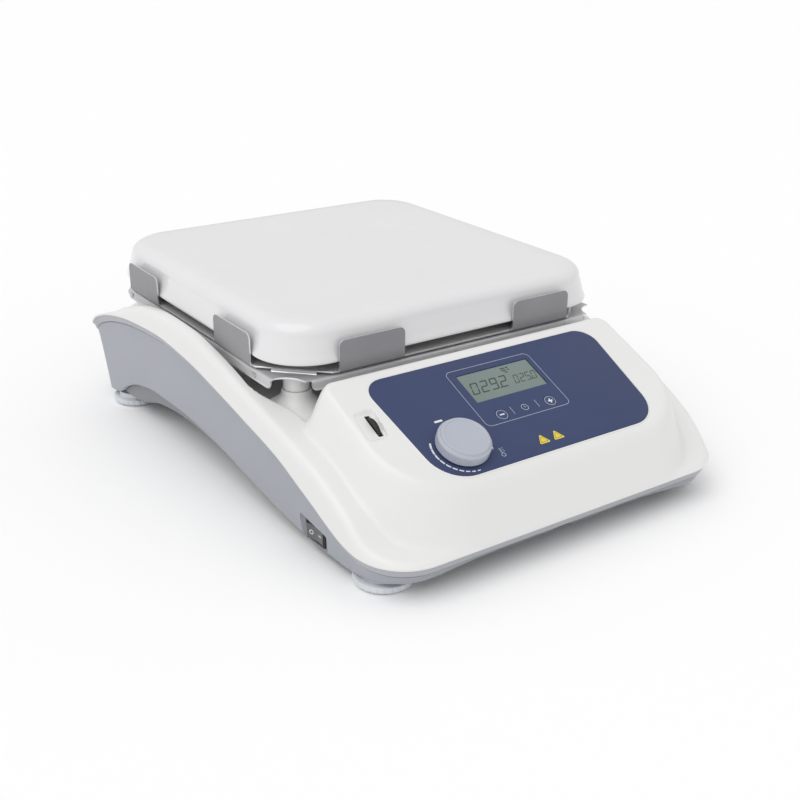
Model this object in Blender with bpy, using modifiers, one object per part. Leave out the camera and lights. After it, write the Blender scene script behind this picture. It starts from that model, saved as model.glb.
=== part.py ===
"""Bench-top magnetic stirrer with a square heating plate, built as an assembly.

All driving dimensions are in millimetres; the mesh is made in metres, +Z up.
The origin is the centre of the footprint on the bench, and -Y is the front.
"""

import math

import bmesh
import bpy
from mathutils import Matrix, Vector

MM = 0.001
GAP = 0.3

# Overall outline of the housing, seen from above.
DEPTH = 382.0
FRONT_Y = -DEPTH / 2
REAR_Y = DEPTH / 2
SIDE_X = 140.3
SIDE_TAPER = 0.035
FRONT_CORNER = 34.5
REAR_CORNER = 14.0
COVER_WALL = 3.0
BASE_WALL = 2.4
RIM_UNDERCUT = 3.5
RIM_BAND = 6.0
EDGE_ROUND = 5.0
PAN_INSET = 10.2
PAN_WALL = 2.0
PAN_LIP = 8.0
PAN_REAR_GAP = 11.5

# Side view of the housing: (y, z) control points of its long curves.
RIDGE_LINE = [(-191, 24), (-172, 28), (-150, 43), (-124, 56.5), (-98, 66), (-45, 81),
              (-10, 91), (30, 97), (60, 97.5), (90, 95), (120, 87), (155, 72.5), (191, 59)]
RIM_LINE = [(-191, 21), (-155, 24), (-113, 39.7), (-81, 52.5), (-47, 61.3), (-11, 70),
            (28, 78), (70, 82), (110, 80), (145, 74.5), (170, 66.5), (191, 54)]
SKIRT_LINE = [(-191, 9), (-95, 9), (-51, 15), (8, 26.3), (60, 31.3), (90, 31.5),
              (118, 28), (140, 20), (156, 10.5), (166, 9), (191, 9)]
PAN_LINE = [(-191, 9), (-80, 9), (-40, 13), (10, 19), (60, 22), (95, 19),
            (120, 12), (136, 9), (191, 9)]

# Deck under the plate and the pedestals that carry the tray.
DECK_Z = 64.0
DECK_REAR_Z = 57.0
RIM_WALL_SLOPE = 4.0
RIM_TOP_WIDTH = 8.0
SHOULDER_WIDTH = 30.0
PLATE_Y = 52.0
PEDESTAL_PITCH = 107.0
PEDESTAL_TOP_Z = 79.0
PEDESTAL_TOP_R = 9.0
PEDESTAL_FOOT_R = 25.0

# Sloped console and its panel.
PANEL_TOP_Y = -96.2
PANEL_TOP_Z = 90.9
PANEL_SLOPE = math.radians(23.0)
PANEL_LENGTH = 85.0
PANEL_TOP_HALF = 89.2
PANEL_BOTTOM_HALF = 81.8
PANEL_TOP_CORNER = 13.0
PANEL_BOTTOM_CORNER = 22.0
PANEL_SHEET = 1.2
PANEL_POCKET = 1.0
CONSOLE_HALF = 111.0
CONSOLE_FRONT_Y = -178.5
CONSOLE_REAR_Y = -88.0
CONSOLE_CORNER = 42.0
CONSOLE_STEEPNESS = 2.6

# Controls, in panel coordinates: x across, v up the slope from the panel's top edge.
LCD_V = -24.7
LCD_SIZE = (55.2, 23.8)
KEY_X = 18.8
KEY_V = -50.0
KEY_R = 4.2
KEY_TRAVEL = 0.5
KNOB_X = -58.5
KNOB_V = -64.0
KNOB_R = 16.4
KNOB_HEIGHT = 9.0
DIAL_X = -97.0
DIAL_V = -31.0
DIAL_R = 9.0
DIAL_DEPTH = 7.6
DIAL_RECESS = (13.5, 22.0)
DIAL_RECESS_X = -99.6
DIAL_AXLE_R = 1.6
KNOB_SHAFT_R = 3.0
POT_R = 9.2
POT_BUSH_R = 4.2
POT_TOP = -3.9
POT_BOTTOM = -14.0
DISPLAY_BOARD_TOP = -11.5
KEY_SKIRT_TOP = -2.0
KEY_SKIRT_BOTTOM = -3.0

# Heated plate and the sheet-metal tiers below it.
PLATE_HALF = 127.0
PLATE_BOTTOM_Z = 99.3
PLATE_HEIGHT = 24.0
PLATE_CORNER = 34.0
PLATE_DRAFT = 7.5
PLATE_TOP_ROUND = 9.0
CAVITY_HALF = 105.0
CAVITY_HEIGHT = 10.3
SHEET = 1.0
BEND = 0.3
TRAY_Z = 91.0
TRAY_SKIRT = 7.5
TRAY_SKIRT_HALF = 98.0
TRAY_CORNER_CUT = 22.0
BRACKET_Z = 93.3
BRACKET_HALF = 128.9
BRACKET_CHAMFER = 36.0
TAB_NEAR = 42.8
TAB_FAR = 89.9
TAB_TOP_Z = 112.0
TAB_CORNER = 4.0
PLATE_SCREW_X = 80.0
PLATE_SCREW_Y = 116.0
PAD_THICKNESS = 9.4
ELEMENT_THICKNESS = 5.0
SPACER_R = 8.0

# Feet, and the four corners that repeated pieces are named for.
FOOT_R = 17.5
FOOT_HEIGHT = 8.7
FEET = {"front_left": (-113.0, -158.0), "front_right": (113.0, -158.0),
        "rear_left": (-124.0, 158.0), "rear_right": (124.0, 158.0)}
CORNERS = {"front_left": (-1, -1), "front_right": (1, -1),
           "rear_left": (-1, 1), "rear_right": (1, 1)}

# Power rocker in the left side wall.
ROCKER_Y = -112.0
ROCKER_Z = 17.0
ROCKER_SIZE = (20.0, 12.5)
ROCKER_DEPTH = 15.0
ROCKER_WELL = (8.5, 16.6, 9.6)
ROCKER_HALF = 7.4
ROCKER_SWING = math.radians(8.0)

# Mains inlet in the sloped rear wall.
INLET_X = 62.0
INLET_Z = 31.0
INLET_SIZE = (31.0, 33.0)
INLET_DEPTH = 22.0
INLET_FLANGE = 2.0
INLET_SEAT = 0.9
SOCKET_SIZE = (23.0, 14.0)
SOCKET_V = 6.4
SOCKET_DEPTH = 12.0
PIN_LENGTH = 9.0
DRAWER_SIZE = (21.2, 6.2, 17.0)
DRAWER_V = -9.5
REAR_LEAN = 11.0

# Stirring drive.
MOTOR_R = 26.0
MOTOR_BOTTOM_Z = 27.0
MOTOR_BOSS = 3.0
SHAFT_R = 3.0
CARRIER_R = 34.0
CARRIER_Z = 75.0
CARRIER_SHEET = 4.0
MAGNET_X = 21.0
MAGNET_SIZE = (14.0, 24.0, 8.0)
TOWER_R = 40.0
TOWER_WALL = 1.8
TOWER_TOP_Z = 90.4

# Power electronics on the pan, under the console.
BOARD_SHEET = 1.6
POWER_BOARD_Z = 20.0
POWER_BOARD_CENTRE = (36.0, -118.0)
POWER_BOARD_SIZE = (120.0, 84.0)
STANDOFF_PITCH = (52.0, 33.0)


# ---------------------------------------------------------------- helpers

def start_scene():
    for item in list(bpy.data.objects):
        bpy.data.objects.remove(item, do_unlink=True)
    parts = bpy.data.collections.new("magnetic_stirrer")
    cutters = bpy.data.collections.new("cutters")
    bpy.context.scene.collection.children.link(parts)
    bpy.context.scene.collection.children.link(cutters)
    return parts, cutters


PARTS, CUTTERS = start_scene()


def material(name, colour, roughness, metallic=0.0):
    made = bpy.data.materials.new(name)
    made.use_nodes = True
    shader = made.node_tree.nodes["Principled BSDF"]
    shader.inputs["Base Color"].default_value = (*colour, 1.0)
    shader.inputs["Roughness"].default_value = roughness
    shader.inputs["Metallic"].default_value = metallic
    return made


WHITE = material("white_plastic", (0.86, 0.86, 0.85), 0.35)
GREY = material("grey_plastic", (0.38, 0.39, 0.44), 0.45)
DARK_GREY = material("dark_grey_plastic", (0.14, 0.14, 0.15), 0.4)
BLACK = material("black_plastic", (0.02, 0.02, 0.02), 0.4)
PALE_RUBBER = material("pale_rubber", (0.48, 0.52, 0.56), 0.7)
BLUE = material("blue_overlay", (0.06, 0.08, 0.16), 0.35)
KNOB_GREY = material("knob_grey", (0.43, 0.46, 0.53), 0.45)
LCD_GREEN = material("lcd_green", (0.2, 0.26, 0.23), 0.2)
CERAMIC = material("ceramic_white", (0.78, 0.78, 0.79), 0.15)
STEEL = material("satin_steel", (0.4, 0.4, 0.42), 0.35, 1.0)
BRIGHT = material("bright_steel", (0.6, 0.6, 0.62), 0.25, 1.0)
BOARD = material("circuit_board", (0.03, 0.2, 0.08), 0.5)
COPPER = material("winding_copper", (0.6, 0.3, 0.15), 0.4, 1.0)
WOOL = material("insulation_wool", (0.7, 0.68, 0.6), 0.95)
ALLOY = material("alloy", (0.65, 0.66, 0.68), 0.4, 1.0)


def place(name, mesh, finish, parent=None, location=(0, 0, 0), rotation=(0, 0, 0)):
    """Make an object of a mesh; location is in millimetres, in the parent's frame."""
    item = bpy.data.objects.new(name, mesh)
    PARTS.objects.link(item)
    mesh.materials.append(finish)
    item.parent = parent
    item.location = Vector(location) * MM
    item.rotation_euler = rotation
    return item


def empty(name, location, rotation=(0, 0, 0)):
    item = bpy.data.objects.new(name, None)
    PARTS.objects.link(item)
    item.location = Vector(location) * MM
    item.rotation_euler = rotation
    return item


def finish_mesh(bm, name, smooth=False):
    bmesh.ops.recalc_face_normals(bm, faces=bm.faces)
    mesh = bpy.data.meshes.new(name)
    bm.to_mesh(mesh)
    bm.free()
    if smooth:
        mesh.shade_smooth()
        mesh.set_sharp_from_angle(angle=math.radians(30))
    return mesh


def block_mesh(name, size, rounding=0.0, steps=2, vertical_only=False):
    """A box with rounded edges, centred on its own origin."""
    bm = bmesh.new()
    bmesh.ops.create_cube(bm, size=1.0)
    bmesh.ops.scale(bm, vec=Vector(size) * MM, verts=bm.verts)
    if rounding:
        edges = list(bm.edges)
        if vertical_only:
            edges = [e for e in edges if abs(e.verts[0].co.z - e.verts[1].co.z) > MM * 0.1]
        bmesh.ops.bevel(bm, geom=edges, offset=rounding * MM, segments=steps,
                        profile=0.5, affect="EDGES")
    return finish_mesh(bm, name, smooth=bool(rounding))


def block(name, size, centre, finish, rounding=0.0, steps=2, vertical_only=False, **where):
    mesh = block_mesh(name, size, rounding, steps, vertical_only)
    return place(name, mesh, finish, location=centre, **where)


def disc_mesh(name, radius, height, sides=24):
    """A cylinder along Z, centred on its own origin."""
    bm = bmesh.new()
    bmesh.ops.create_cone(bm, cap_ends=True, segments=sides, radius1=radius * MM,
                          radius2=radius * MM, depth=height * MM)
    return finish_mesh(bm, name, smooth=True)


def disc(name, radius, height, centre, finish, sides=24, **where):
    return place(name, disc_mesh(name, radius, height, sides), finish, location=centre, **where)


def turned(name, profile, finish, sides=32, **where):
    """A solid of revolution: (radius, z) points from the top down the outer side."""
    mesh = bpy.data.meshes.new(name)
    points = [(r * MM, 0.0, z * MM) for r, z in profile]
    closed = profile[0][0] > 0
    count = len(points)
    links = [(i, i + 1) for i in range(count - 1)]
    if closed:
        links.append((count - 1, 0))
    mesh.from_pydata(points, links, [])
    item = place(name, mesh, finish, **where)
    screw = item.modifiers.new("turn", "SCREW")
    screw.steps = sides
    screw.render_steps = sides
    screw.use_merge_vertices = True
    screw.merge_threshold = 0.00001
    screw.use_smooth_shade = False
    return item


def turned_at_corners(name, profile, finish, sides, half_x, half_y, centre_y, centre_x=0.0):
    """The same turned piece at the four corners of a rectangle, each its own object."""
    for corner, (x, y) in CORNERS.items():
        turned(f"{name}_{corner}", profile, finish, sides,
               location=(centre_x + x * half_x, centre_y + y * half_y, 0))


def make_cutter(item):
    PARTS.objects.unlink(item)
    CUTTERS.objects.link(item)
    item.hide_render = True
    item.display_type = "WIRE"
    return item


def combine(target, tool, operation="DIFFERENCE"):
    make_cutter(tool)
    step = target.modifiers.new(operation.lower(), "BOOLEAN")
    step.operation = operation
    step.solver = "EXACT"
    step.object = tool
    return target


def rounded_outline(corners, radii, steps=6):
    """Points round a convex outline whose corners are rounded by the given radii."""
    points = []
    count = len(corners)
    for i in range(count):
        here = Vector(corners[i])
        before = (Vector(corners[i - 1]) - here).normalized()
        after = (Vector(corners[(i + 1) % count]) - here).normalized()
        if radii[i] <= 0:
            points.append(tuple(here))
            continue
        half = before.angle(after) / 2
        centre = here + (before + after).normalized() * (radii[i] / math.sin(half))
        first = here + before * (radii[i] / math.tan(half)) - centre
        last = here + after * (radii[i] / math.tan(half)) - centre
        sweep = first.angle_signed(last)
        for k in range(steps + 1):
            turn = Matrix.Rotation(-sweep * k / steps, 2)
            points.append(tuple(centre + turn @ first))
    return points


def plate_from_outline(name, points, thickness, finish, **where):
    """A flat sheet of a closed outline, centred on its own thickness."""
    curve = bpy.data.curves.new(name, "CURVE")
    curve.dimensions = "2D"
    curve.fill_mode = "BOTH"
    curve.extrude = thickness * MM / 2
    spline = curve.splines.new("POLY")
    spline.points.add(len(points) - 1)
    for slot, (x, y) in zip(spline.points, points):
        slot.co = (x * MM, y * MM, 0.0, 1.0)
    spline.use_cyclic_u = True
    drawn = bpy.data.objects.new(name + "_outline", curve)
    PARTS.objects.link(drawn)
    bpy.context.view_layer.update()
    evaluated = drawn.evaluated_get(bpy.context.evaluated_depsgraph_get())
    mesh = bpy.data.meshes.new_from_object(evaluated)
    bpy.data.objects.remove(drawn, do_unlink=True)
    bm = bmesh.new()
    bm.from_mesh(mesh)
    bmesh.ops.remove_doubles(bm, verts=bm.verts, dist=0.00001)
    bmesh.ops.recalc_face_normals(bm, faces=bm.faces)
    bm.to_mesh(mesh)
    bm.free()
    mesh.materials.clear()
    return place(name, mesh, finish, **where)


def smooth_line(points):
    """A smooth curve z(y) through control points, level past its ends."""
    ys = [p[0] for p in points]
    zs = [p[1] for p in points]
    rises = [(zs[i + 1] - zs[i]) / (ys[i + 1] - ys[i]) for i in range(len(ys) - 1)]
    slopes = [0.0]
    for before, after in zip(rises, rises[1:]):
        level = before * after <= 0
        slopes.append(0.0 if level else 2 * before * after / (before + after))
    slopes.append(0.0)

    def value(y):
        if y <= ys[0]:
            return zs[0]
        if y >= ys[-1]:
            return zs[-1]
        i = max(k for k in range(len(ys) - 1) if ys[k] <= y)
        span = ys[i + 1] - ys[i]
        t = (y - ys[i]) / span
        return ((2 * t ** 3 - 3 * t ** 2 + 1) * zs[i] + (t ** 3 - 2 * t ** 2 + t) * span * slopes[i]
                + (3 * t ** 2 - 2 * t ** 3) * zs[i + 1] + (t ** 3 - t ** 2) * span * slopes[i + 1])

    return value


ridge_z = smooth_line(RIDGE_LINE)
rim_z = smooth_line(RIM_LINE)
skirt_z = smooth_line(SKIRT_LINE)
pan_z = smooth_line(PAN_LINE)


def ease(low, high, value):
    t = min(max((value - low) / (high - low), 0.0), 1.0)
    return t * t * (3 - 2 * t)


def blend_max(a, b, radius):
    """The larger of two heights, with a fillet of about the given radius."""
    mix = max(radius - abs(a - b), 0.0) / radius
    return max(a, b) + mix * mix * radius / 4


# ---------------------------------------------------------------- housing outline

def stations():
    """Rows of the housing from front to rear, as (zone, parameter)."""
    rows = [("front", math.radians(a)) for a in (90, 72, 54, 36, 18, 0)]
    inner = [-146, -134, -122, -110, -99, -93, -88, -84, -79, -72, -62, -50, -36, -20,
             0, 22, 45, 68, 90, 110, 128, 144, 160]
    rows += [("side", y) for y in inner]
    rows += [("rear", math.radians(a)) for a in (0, 30, 60, 90)]
    return rows


def row_edge(row, inset):
    """Half-width and y of the housing outline at a row, moved inwards by inset."""
    zone, value = row
    if zone == "side":
        return SIDE_X + SIDE_TAPER * value - inset, value
    corner = FRONT_CORNER if zone == "front" else REAR_CORNER
    sign = -1 if zone == "front" else 1
    middle = sign * (DEPTH / 2 - corner)
    radius = corner - inset
    half = SIDE_X + SIDE_TAPER * middle - corner
    return half + radius * math.cos(value), middle + sign * radius * math.sin(value)


def edge_distance(x, y):
    """How far a point lies inside the housing outline."""
    half = SIDE_X + SIDE_TAPER * y
    best = min(half - abs(x), y - FRONT_Y, REAR_Y - y)
    for sign, corner in ((-1, FRONT_CORNER), (1, REAR_CORNER)):
        middle = sign * (DEPTH / 2 - corner)
        across = abs(x) - (SIDE_X + SIDE_TAPER * middle - corner)
        along = sign * (y - middle)
        if across > 0 and along > 0:
            best = corner - math.hypot(across, along)
    return best


def panel_plane_z(y):
    return PANEL_TOP_Z + math.tan(PANEL_SLOPE) * (y - PANEL_TOP_Y)


def console_distance(x, y):
    """How far a point lies outside the rounded plan of the console."""
    middle_y = (CONSOLE_FRONT_Y + CONSOLE_REAR_Y) / 2
    half_y = (CONSOLE_REAR_Y - CONSOLE_FRONT_Y) / 2
    corner = CONSOLE_CORNER if y < middle_y else 8.0
    across = abs(x) - (CONSOLE_HALF - corner)
    along = abs(y - middle_y) - (half_y - corner)
    outside = math.hypot(max(across, 0.0), max(along, 0.0))
    return outside + min(max(across, along), 0.0) - corner


def cover_height(x, y):
    """Height of the top cover's outer surface above the bench."""
    inside = edge_distance(x, y)
    width = SHOULDER_WIDTH + (RIM_TOP_WIDTH - SHOULDER_WIDTH) * ease(-80, -38, y)
    rear_ridge = ease(150, 185, y)
    ridge = ridge_z(y)
    shoulder = ridge - RIM_WALL_SLOPE * max(SIDE_X + SIDE_TAPER * y - abs(x) - width, 0.0)
    deck = DECK_Z + (DECK_REAR_Z - DECK_Z) * rear_ridge
    if y < CONSOLE_REAR_Y:
        shoulder = ridge
    ground = blend_max(shoulder, deck, 4.0) if y > CONSOLE_REAR_Y else shoulder
    away = console_distance(x, y)
    drop = CONSOLE_STEEPNESS * (max(away, 0.0) if away > 3 else max(away + 3, 0.0) ** 2 / 12)
    console = min(panel_plane_z(y), panel_plane_z(CONSOLE_REAR_Y)) - drop
    surface = blend_max(console, ground, 8.0)
    if inside < EDGE_ROUND:
        surface -= EDGE_ROUND - math.sqrt(max(EDGE_ROUND ** 2 - (EDGE_ROUND - inside) ** 2, 0.0))
    return max(surface, rim_z(y) + 1.0) if inside < RIM_TOP_WIDTH else surface


def row_columns(half):
    """Positions across a row, finer near both side walls."""
    steps = [0.0, 1.5, 5.0, 8.5, 12.0, 18.0, 25.0, 33.0, 42.0]
    outer = [half - s for s in steps]
    inner = [outer[-1] * k / 4 for k in (3, 2, 1)]
    right = outer + inner
    return [-x for x in right] + [0.0] + right[::-1]


def underside_height(x, y):
    """Height of the cover's inner surface: the outer one, rolled under by a ball."""
    best = cover_height(x, y) - COVER_WALL
    for share in (0.6, 0.95):
        reach = COVER_WALL * share
        fall = COVER_WALL * math.sqrt(1 - share * share)
        for k in range(8):
            angle = k * math.pi / 4
            near = cover_height(x + reach * math.cos(angle), y + reach * math.sin(angle))
            best = min(best, near - fall)
    return best


def add_grid(bm, rows):
    """Faces between successive rows of vertices."""
    for first, second in zip(rows, rows[1:]):
        for i in range(len(first) - 1):
            bm.faces.new((first[i], first[i + 1], second[i + 1], second[i]))


def perimeter(rows):
    """What lies round the edge of a grid of rows."""
    loop = list(rows[0])
    loop += [row[-1] for row in rows[1:]]
    loop += list(rows[-1])[-2::-1]
    loop += [row[0] for row in rows[-2:0:-1]]
    return loop


def join_loops(bm, first, second):
    count = len(first)
    for i in range(count):
        j = (i + 1) % count
        bm.faces.new((first[i], first[j], second[j], second[i]))


def edge_ring(bm, inset, height, lean=0.0):
    """A ring of vertices on the inset outline; lean draws the rear end forwards."""
    rows = []
    for row in stations():
        half, y = row_edge(row, inset)
        y -= lean * ease(150, REAR_Y, y)
        rows.append([(x, y) for x in row_columns(half)])
    return [bm.verts.new(Vector((x, y, height(x, y))) * MM) for x, y in perimeter(rows)]


def top_cover():
    bm = bmesh.new()

    def sheet(inset):
        rows = []
        for row in stations():
            half, y = row_edge(row, inset)
            made = []
            for x in row_columns(half):
                z = cover_height(x, y)
                if inset:
                    z = underside_height(x, y)
                    if edge_distance(x, y) < RIM_TOP_WIDTH:
                        z = max(z, rim_z(y) - RIM_BAND + 1.0)
                made.append(bm.verts.new(Vector((x, y, z)) * MM))
            rows.append(made)
        add_grid(bm, rows)
        return perimeter(rows)

    outer_top = sheet(0.0)
    inner_top = sheet(COVER_WALL)
    rim = edge_ring(bm, 0.0, lambda x, y: rim_z(y))
    tuck = edge_ring(bm, 1.2, lambda x, y: rim_z(y) - RIM_BAND * 0.65)
    foot = edge_ring(bm, RIM_UNDERCUT, lambda x, y: rim_z(y) - RIM_BAND)
    inner_foot = edge_ring(bm, RIM_UNDERCUT + COVER_WALL, lambda x, y: rim_z(y) - RIM_BAND)
    loops = [outer_top, rim, tuck, foot, inner_foot, inner_top]
    for first, second in zip(loops, loops[1:]):
        join_loops(bm, first, second)
    cover = place("top_cover", finish_mesh(bm, "top_cover", smooth=True), WHITE)
    for x in (-PEDESTAL_PITCH, PEDESTAL_PITCH):
        for y in (PLATE_Y - PEDESTAL_PITCH, PLATE_Y + PEDESTAL_PITCH):
            cone = turned("pedestal_cone", pedestal_profile(), WHITE, 20, location=(x, y, 0))
            combine(cover, cone, "UNION")
            hole = disc("pedestal_hole", 2.4, 40.0, (x, y, PEDESTAL_TOP_Z - 10), WHITE, 12)
            combine(cover, hole)
    combine(cover, disc("magnet_tower", TOWER_R, TOWER_TOP_Z - DECK_Z + 2.0,
                        (0, PLATE_Y, (TOWER_TOP_Z + DECK_Z - 2.0) / 2), WHITE, 36), "UNION")
    bore_top = TOWER_TOP_Z - TOWER_WALL
    bore_low = DECK_Z - COVER_WALL - 5.0
    combine(cover, disc("tower_bore", TOWER_R - TOWER_WALL, bore_top - bore_low,
                        (0, PLATE_Y, (bore_top + bore_low) / 2), WHITE, 36))
    return cover


def pedestal_profile():
    """A cone with a hollow flank, from its flat top down into the deck."""
    steps = 5
    flank = []
    for k in range(steps):
        t = k / steps
        radius = PEDESTAL_TOP_R + (PEDESTAL_FOOT_R - PEDESTAL_TOP_R) * t ** 2.2
        flank.append((radius, PEDESTAL_TOP_Z - 1.0 - (PEDESTAL_TOP_Z - DECK_Z) * t))
    return ([(0, PEDESTAL_TOP_Z), (PEDESTAL_TOP_R - 1.0, PEDESTAL_TOP_Z)] + flank
            + [(PEDESTAL_TOP_R + 6.0, DECK_Z - 1.0), (0, DECK_Z - 4.0)])


# ---------------------------------------------------------------- base

def base_shell():
    bm = bmesh.new()

    def top(x, y):
        return rim_z(y) - RIM_BAND - GAP

    def middle(x, y):
        return 0.5 * (top(x, y) + bottom(x, y))

    def bottom(x, y):
        arch = 4.0 * (1 - min(abs(x) / 95.0, 1.0) ** 2) if y < -150 else 0.0
        return skirt_z(y) + arch

    loops = [edge_ring(bm, RIM_UNDERCUT + 0.4, top),
             edge_ring(bm, 5.0, middle, REAR_LEAN * 0.5),
             edge_ring(bm, 6.5, bottom, REAR_LEAN),
             edge_ring(bm, 6.5 + BASE_WALL, bottom, REAR_LEAN),
             edge_ring(bm, 5.0 + BASE_WALL, middle, REAR_LEAN * 0.5),
             edge_ring(bm, RIM_UNDERCUT + 0.4 + BASE_WALL, top)]
    for first, second in zip(loops, loops[1:] + loops[:1]):
        join_loops(bm, first, second)
    return place("base_shell", finish_mesh(bm, "base_shell", smooth=True), GREY)


def bottom_pan():
    """A channel-shaped pan that follows the arch and closes the base from below."""
    bm = bmesh.new()
    wall = PAN_WALL
    fold = 3.0
    sections = []
    for row in stations():
        half, y = row_edge(row, PAN_INSET)
        y -= PAN_REAR_GAP * ease(130, REAR_Y - REAR_CORNER, y)
        floor = pan_z(y)
        rise = max(skirt_z(y), floor) + PAN_LIP
        outline = [(-half, rise), (-half, floor + fold), (fold - half, floor),
                   (half - fold, floor), (half, floor + fold), (half, rise), (half - wall, rise),
                   (half - wall, floor + fold + wall), (half - fold - wall, floor + wall),
                   (fold + wall - half, floor + wall), (wall - half, floor + fold + wall),
                   (wall - half, rise)]
        sections.append([bm.verts.new(Vector((x, y, z)) * MM) for x, z in outline])
    for first, second in zip(sections, sections[1:]):
        join_loops(bm, first, second)
    for end in (sections[0], sections[-1]):
        count = len(end)
        for i in range(count // 2 - 1):
            bm.faces.new((end[i], end[i + 1], end[count - 2 - i], end[count - 1 - i]))
    return place("bottom_pan", finish_mesh(bm, "bottom_pan", smooth=True), DARK_GREY)


def feet():
    profile = [(4.5, FOOT_HEIGHT), (FOOT_R - 0.6, FOOT_HEIGHT), (FOOT_R, FOOT_HEIGHT - 0.8),
               (FOOT_R, 3.6), (FOOT_R - 0.9, 1.4), (FOOT_R - 3.0, 0.0), (7.0, 0.0),
               (7.0, 4.2), (2.6, 4.2), (2.6, FOOT_HEIGHT)]
    for corner, (x, y) in FEET.items():
        turned("foot_" + corner, profile, PALE_RUBBER, 20, location=(x, y, 0))
        screw = [(0, FOOT_HEIGHT + 5.0), (2.0, FOOT_HEIGHT + 5.0), (2.0, 3.9), (4.6, 3.9),
                 (4.6, 1.8), (0, 1.8)]
        turned("foot_screw_" + corner, screw, BRIGHT, 12, location=(x, y, 0))


def cut_pan(pan):
    for x, y in FEET.values():
        combine(pan, disc("foot_screw_hole", 2.4, 10.0, (x, y, 10.0), GREY, 12))


# ---------------------------------------------------------------- plate and its carriers

def top_plate():
    bm = bmesh.new()
    bmesh.ops.create_cube(bm, size=1.0)
    bmesh.ops.scale(bm, vec=Vector((2 * PLATE_HALF, 2 * PLATE_HALF, PLATE_HEIGHT)) * MM,
                    verts=bm.verts)
    shrink = 1 - PLATE_DRAFT / PLATE_HALF
    for vert in bm.verts:
        if vert.co.z > 0:
            vert.co.x *= shrink
            vert.co.y *= shrink
    upright = [e for e in bm.edges if abs(e.verts[0].co.z - e.verts[1].co.z) > 0.01]
    bmesh.ops.bevel(bm, geom=upright, offset=PLATE_CORNER * MM, segments=7,
                    profile=0.5, affect="EDGES")
    rim = [e for e in bm.edges if min(v.co.z for v in e.verts) > PLATE_HEIGHT * MM * 0.49]
    bmesh.ops.bevel(bm, geom=rim, offset=PLATE_TOP_ROUND * MM, segments=5,
                    profile=0.5, affect="EDGES")
    mesh = finish_mesh(bm, "top_plate", smooth=True)
    middle = PLATE_BOTTOM_Z + PLATE_HEIGHT / 2
    plate = place("top_plate", mesh, CERAMIC, location=(0, PLATE_Y, middle))
    side = 2 * CAVITY_HALF
    cavity = block("heater_cavity", (side, side, 2 * CAVITY_HEIGHT), (0, PLATE_Y, PLATE_BOTTOM_Z),
                   CERAMIC, 30.0, 4, vertical_only=True)
    combine(plate, cavity)
    for x in (-PLATE_SCREW_X, PLATE_SCREW_X):
        for y in (-PLATE_SCREW_Y, PLATE_SCREW_Y):
            hole = disc("plate_screw_hole", 2.3, 16.0, (x, PLATE_Y + y, PLATE_BOTTOM_Z),
                        CERAMIC, 12)
            combine(plate, hole)
    return plate


def sheet_with_flanges(name, outline, z, flanges, finish):
    """A flat sheet with folded flanges, given as (mesh object) tools to be joined."""
    sheet = plate_from_outline(name, outline, SHEET, finish, location=(0, PLATE_Y, z + SHEET / 2))
    for flange in flanges:
        combine(sheet, flange, "UNION")
    return sheet


def side_frames():
    """Outward turns of the four sides: front, right, back, left."""
    return [0.0, math.pi / 2, math.pi, 3 * math.pi / 2]


def upright_plate(name, half, low, high, offset, turn, finish, centre=0.0, radius=4.0, top=True):
    """A thin upright plate on one side of the square, with two rounded corners."""
    corners = [(centre - half, low), (centre + half, low), (centre + half, high),
               (centre - half, high)]
    radii = [0, 0, radius, radius] if top else [radius, radius, 0, 0]
    points = rounded_outline(corners, radii, 4)
    item = plate_from_outline(name, points, SHEET, finish)
    stand = Matrix.Rotation(turn, 4, "Z") @ Matrix.Rotation(math.pi / 2, 4, "X")
    shift = Matrix.Rotation(turn, 4, "Z") @ Vector((0, -offset * MM, 0))
    item.matrix_world = Matrix.Translation(shift + Vector((0, PLATE_Y * MM, 0))) @ stand
    return item


def support_tray():
    half = PLATE_HALF + 0.3
    cut = TRAY_CORNER_CUT
    outline = []
    for k in range(4):
        turn = Matrix.Rotation(k * math.pi / 2, 2)
        corner = Vector((half, -half))
        for step in range(6):
            angle = math.pi + step / 5 * -math.pi / 2
            rim = corner + cut * Vector((math.cos(angle), math.sin(angle)))
            outline.append(tuple(turn @ rim))
    flanges = []
    for turn in side_frames():
        flanges.append(upright_plate("tray_skirt", TRAY_SKIRT_HALF, TRAY_Z - TRAY_SKIRT,
                                     TRAY_Z + SHEET / 2, half - SHEET / 2 + BEND, turn, STEEL,
                                     radius=5.0, top=False))
    tray = sheet_with_flanges("support_tray", outline, TRAY_Z, flanges, STEEL)
    for x, y in corner_points(PLATE_SCREW_X, PLATE_SCREW_Y):
        combine(tray, disc("tray_screw_hole", 3.8, 10.0, (x, PLATE_Y + y, TRAY_Z), STEEL, 12))
    return tray


def corner_points(x, y):
    return [(-x, -y), (x, -y), (x, y), (-x, y)]


def clip_bracket():
    half = BRACKET_HALF
    cut = BRACKET_CHAMFER
    corners = []
    for k in range(4):
        turn = Matrix.Rotation(k * math.pi / 2, 2)
        corners.append(tuple(turn @ Vector((half - cut, -half))))
        corners.append(tuple(turn @ Vector((half, cut - half))))
    flanges = []
    middle = (TAB_NEAR + TAB_FAR) / 2
    for turn in side_frames():
        for sign in (-1, 1):
            flanges.append(upright_plate("plate_tab", (TAB_FAR - TAB_NEAR) / 2, BRACKET_Z - BEND,
                                         TAB_TOP_Z, half - SHEET / 2 + BEND, turn, STEEL,
                                         centre=sign * middle, radius=TAB_CORNER))
    bracket = sheet_with_flanges("clip_bracket", corners, BRACKET_Z, flanges, STEEL)
    for x, y in corner_points(PLATE_SCREW_X, PLATE_SCREW_Y):
        combine(bracket, disc("bracket_hole", 3.8, 10.0, (x, PLATE_Y + y, BRACKET_Z), STEEL, 12))
    return bracket


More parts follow.
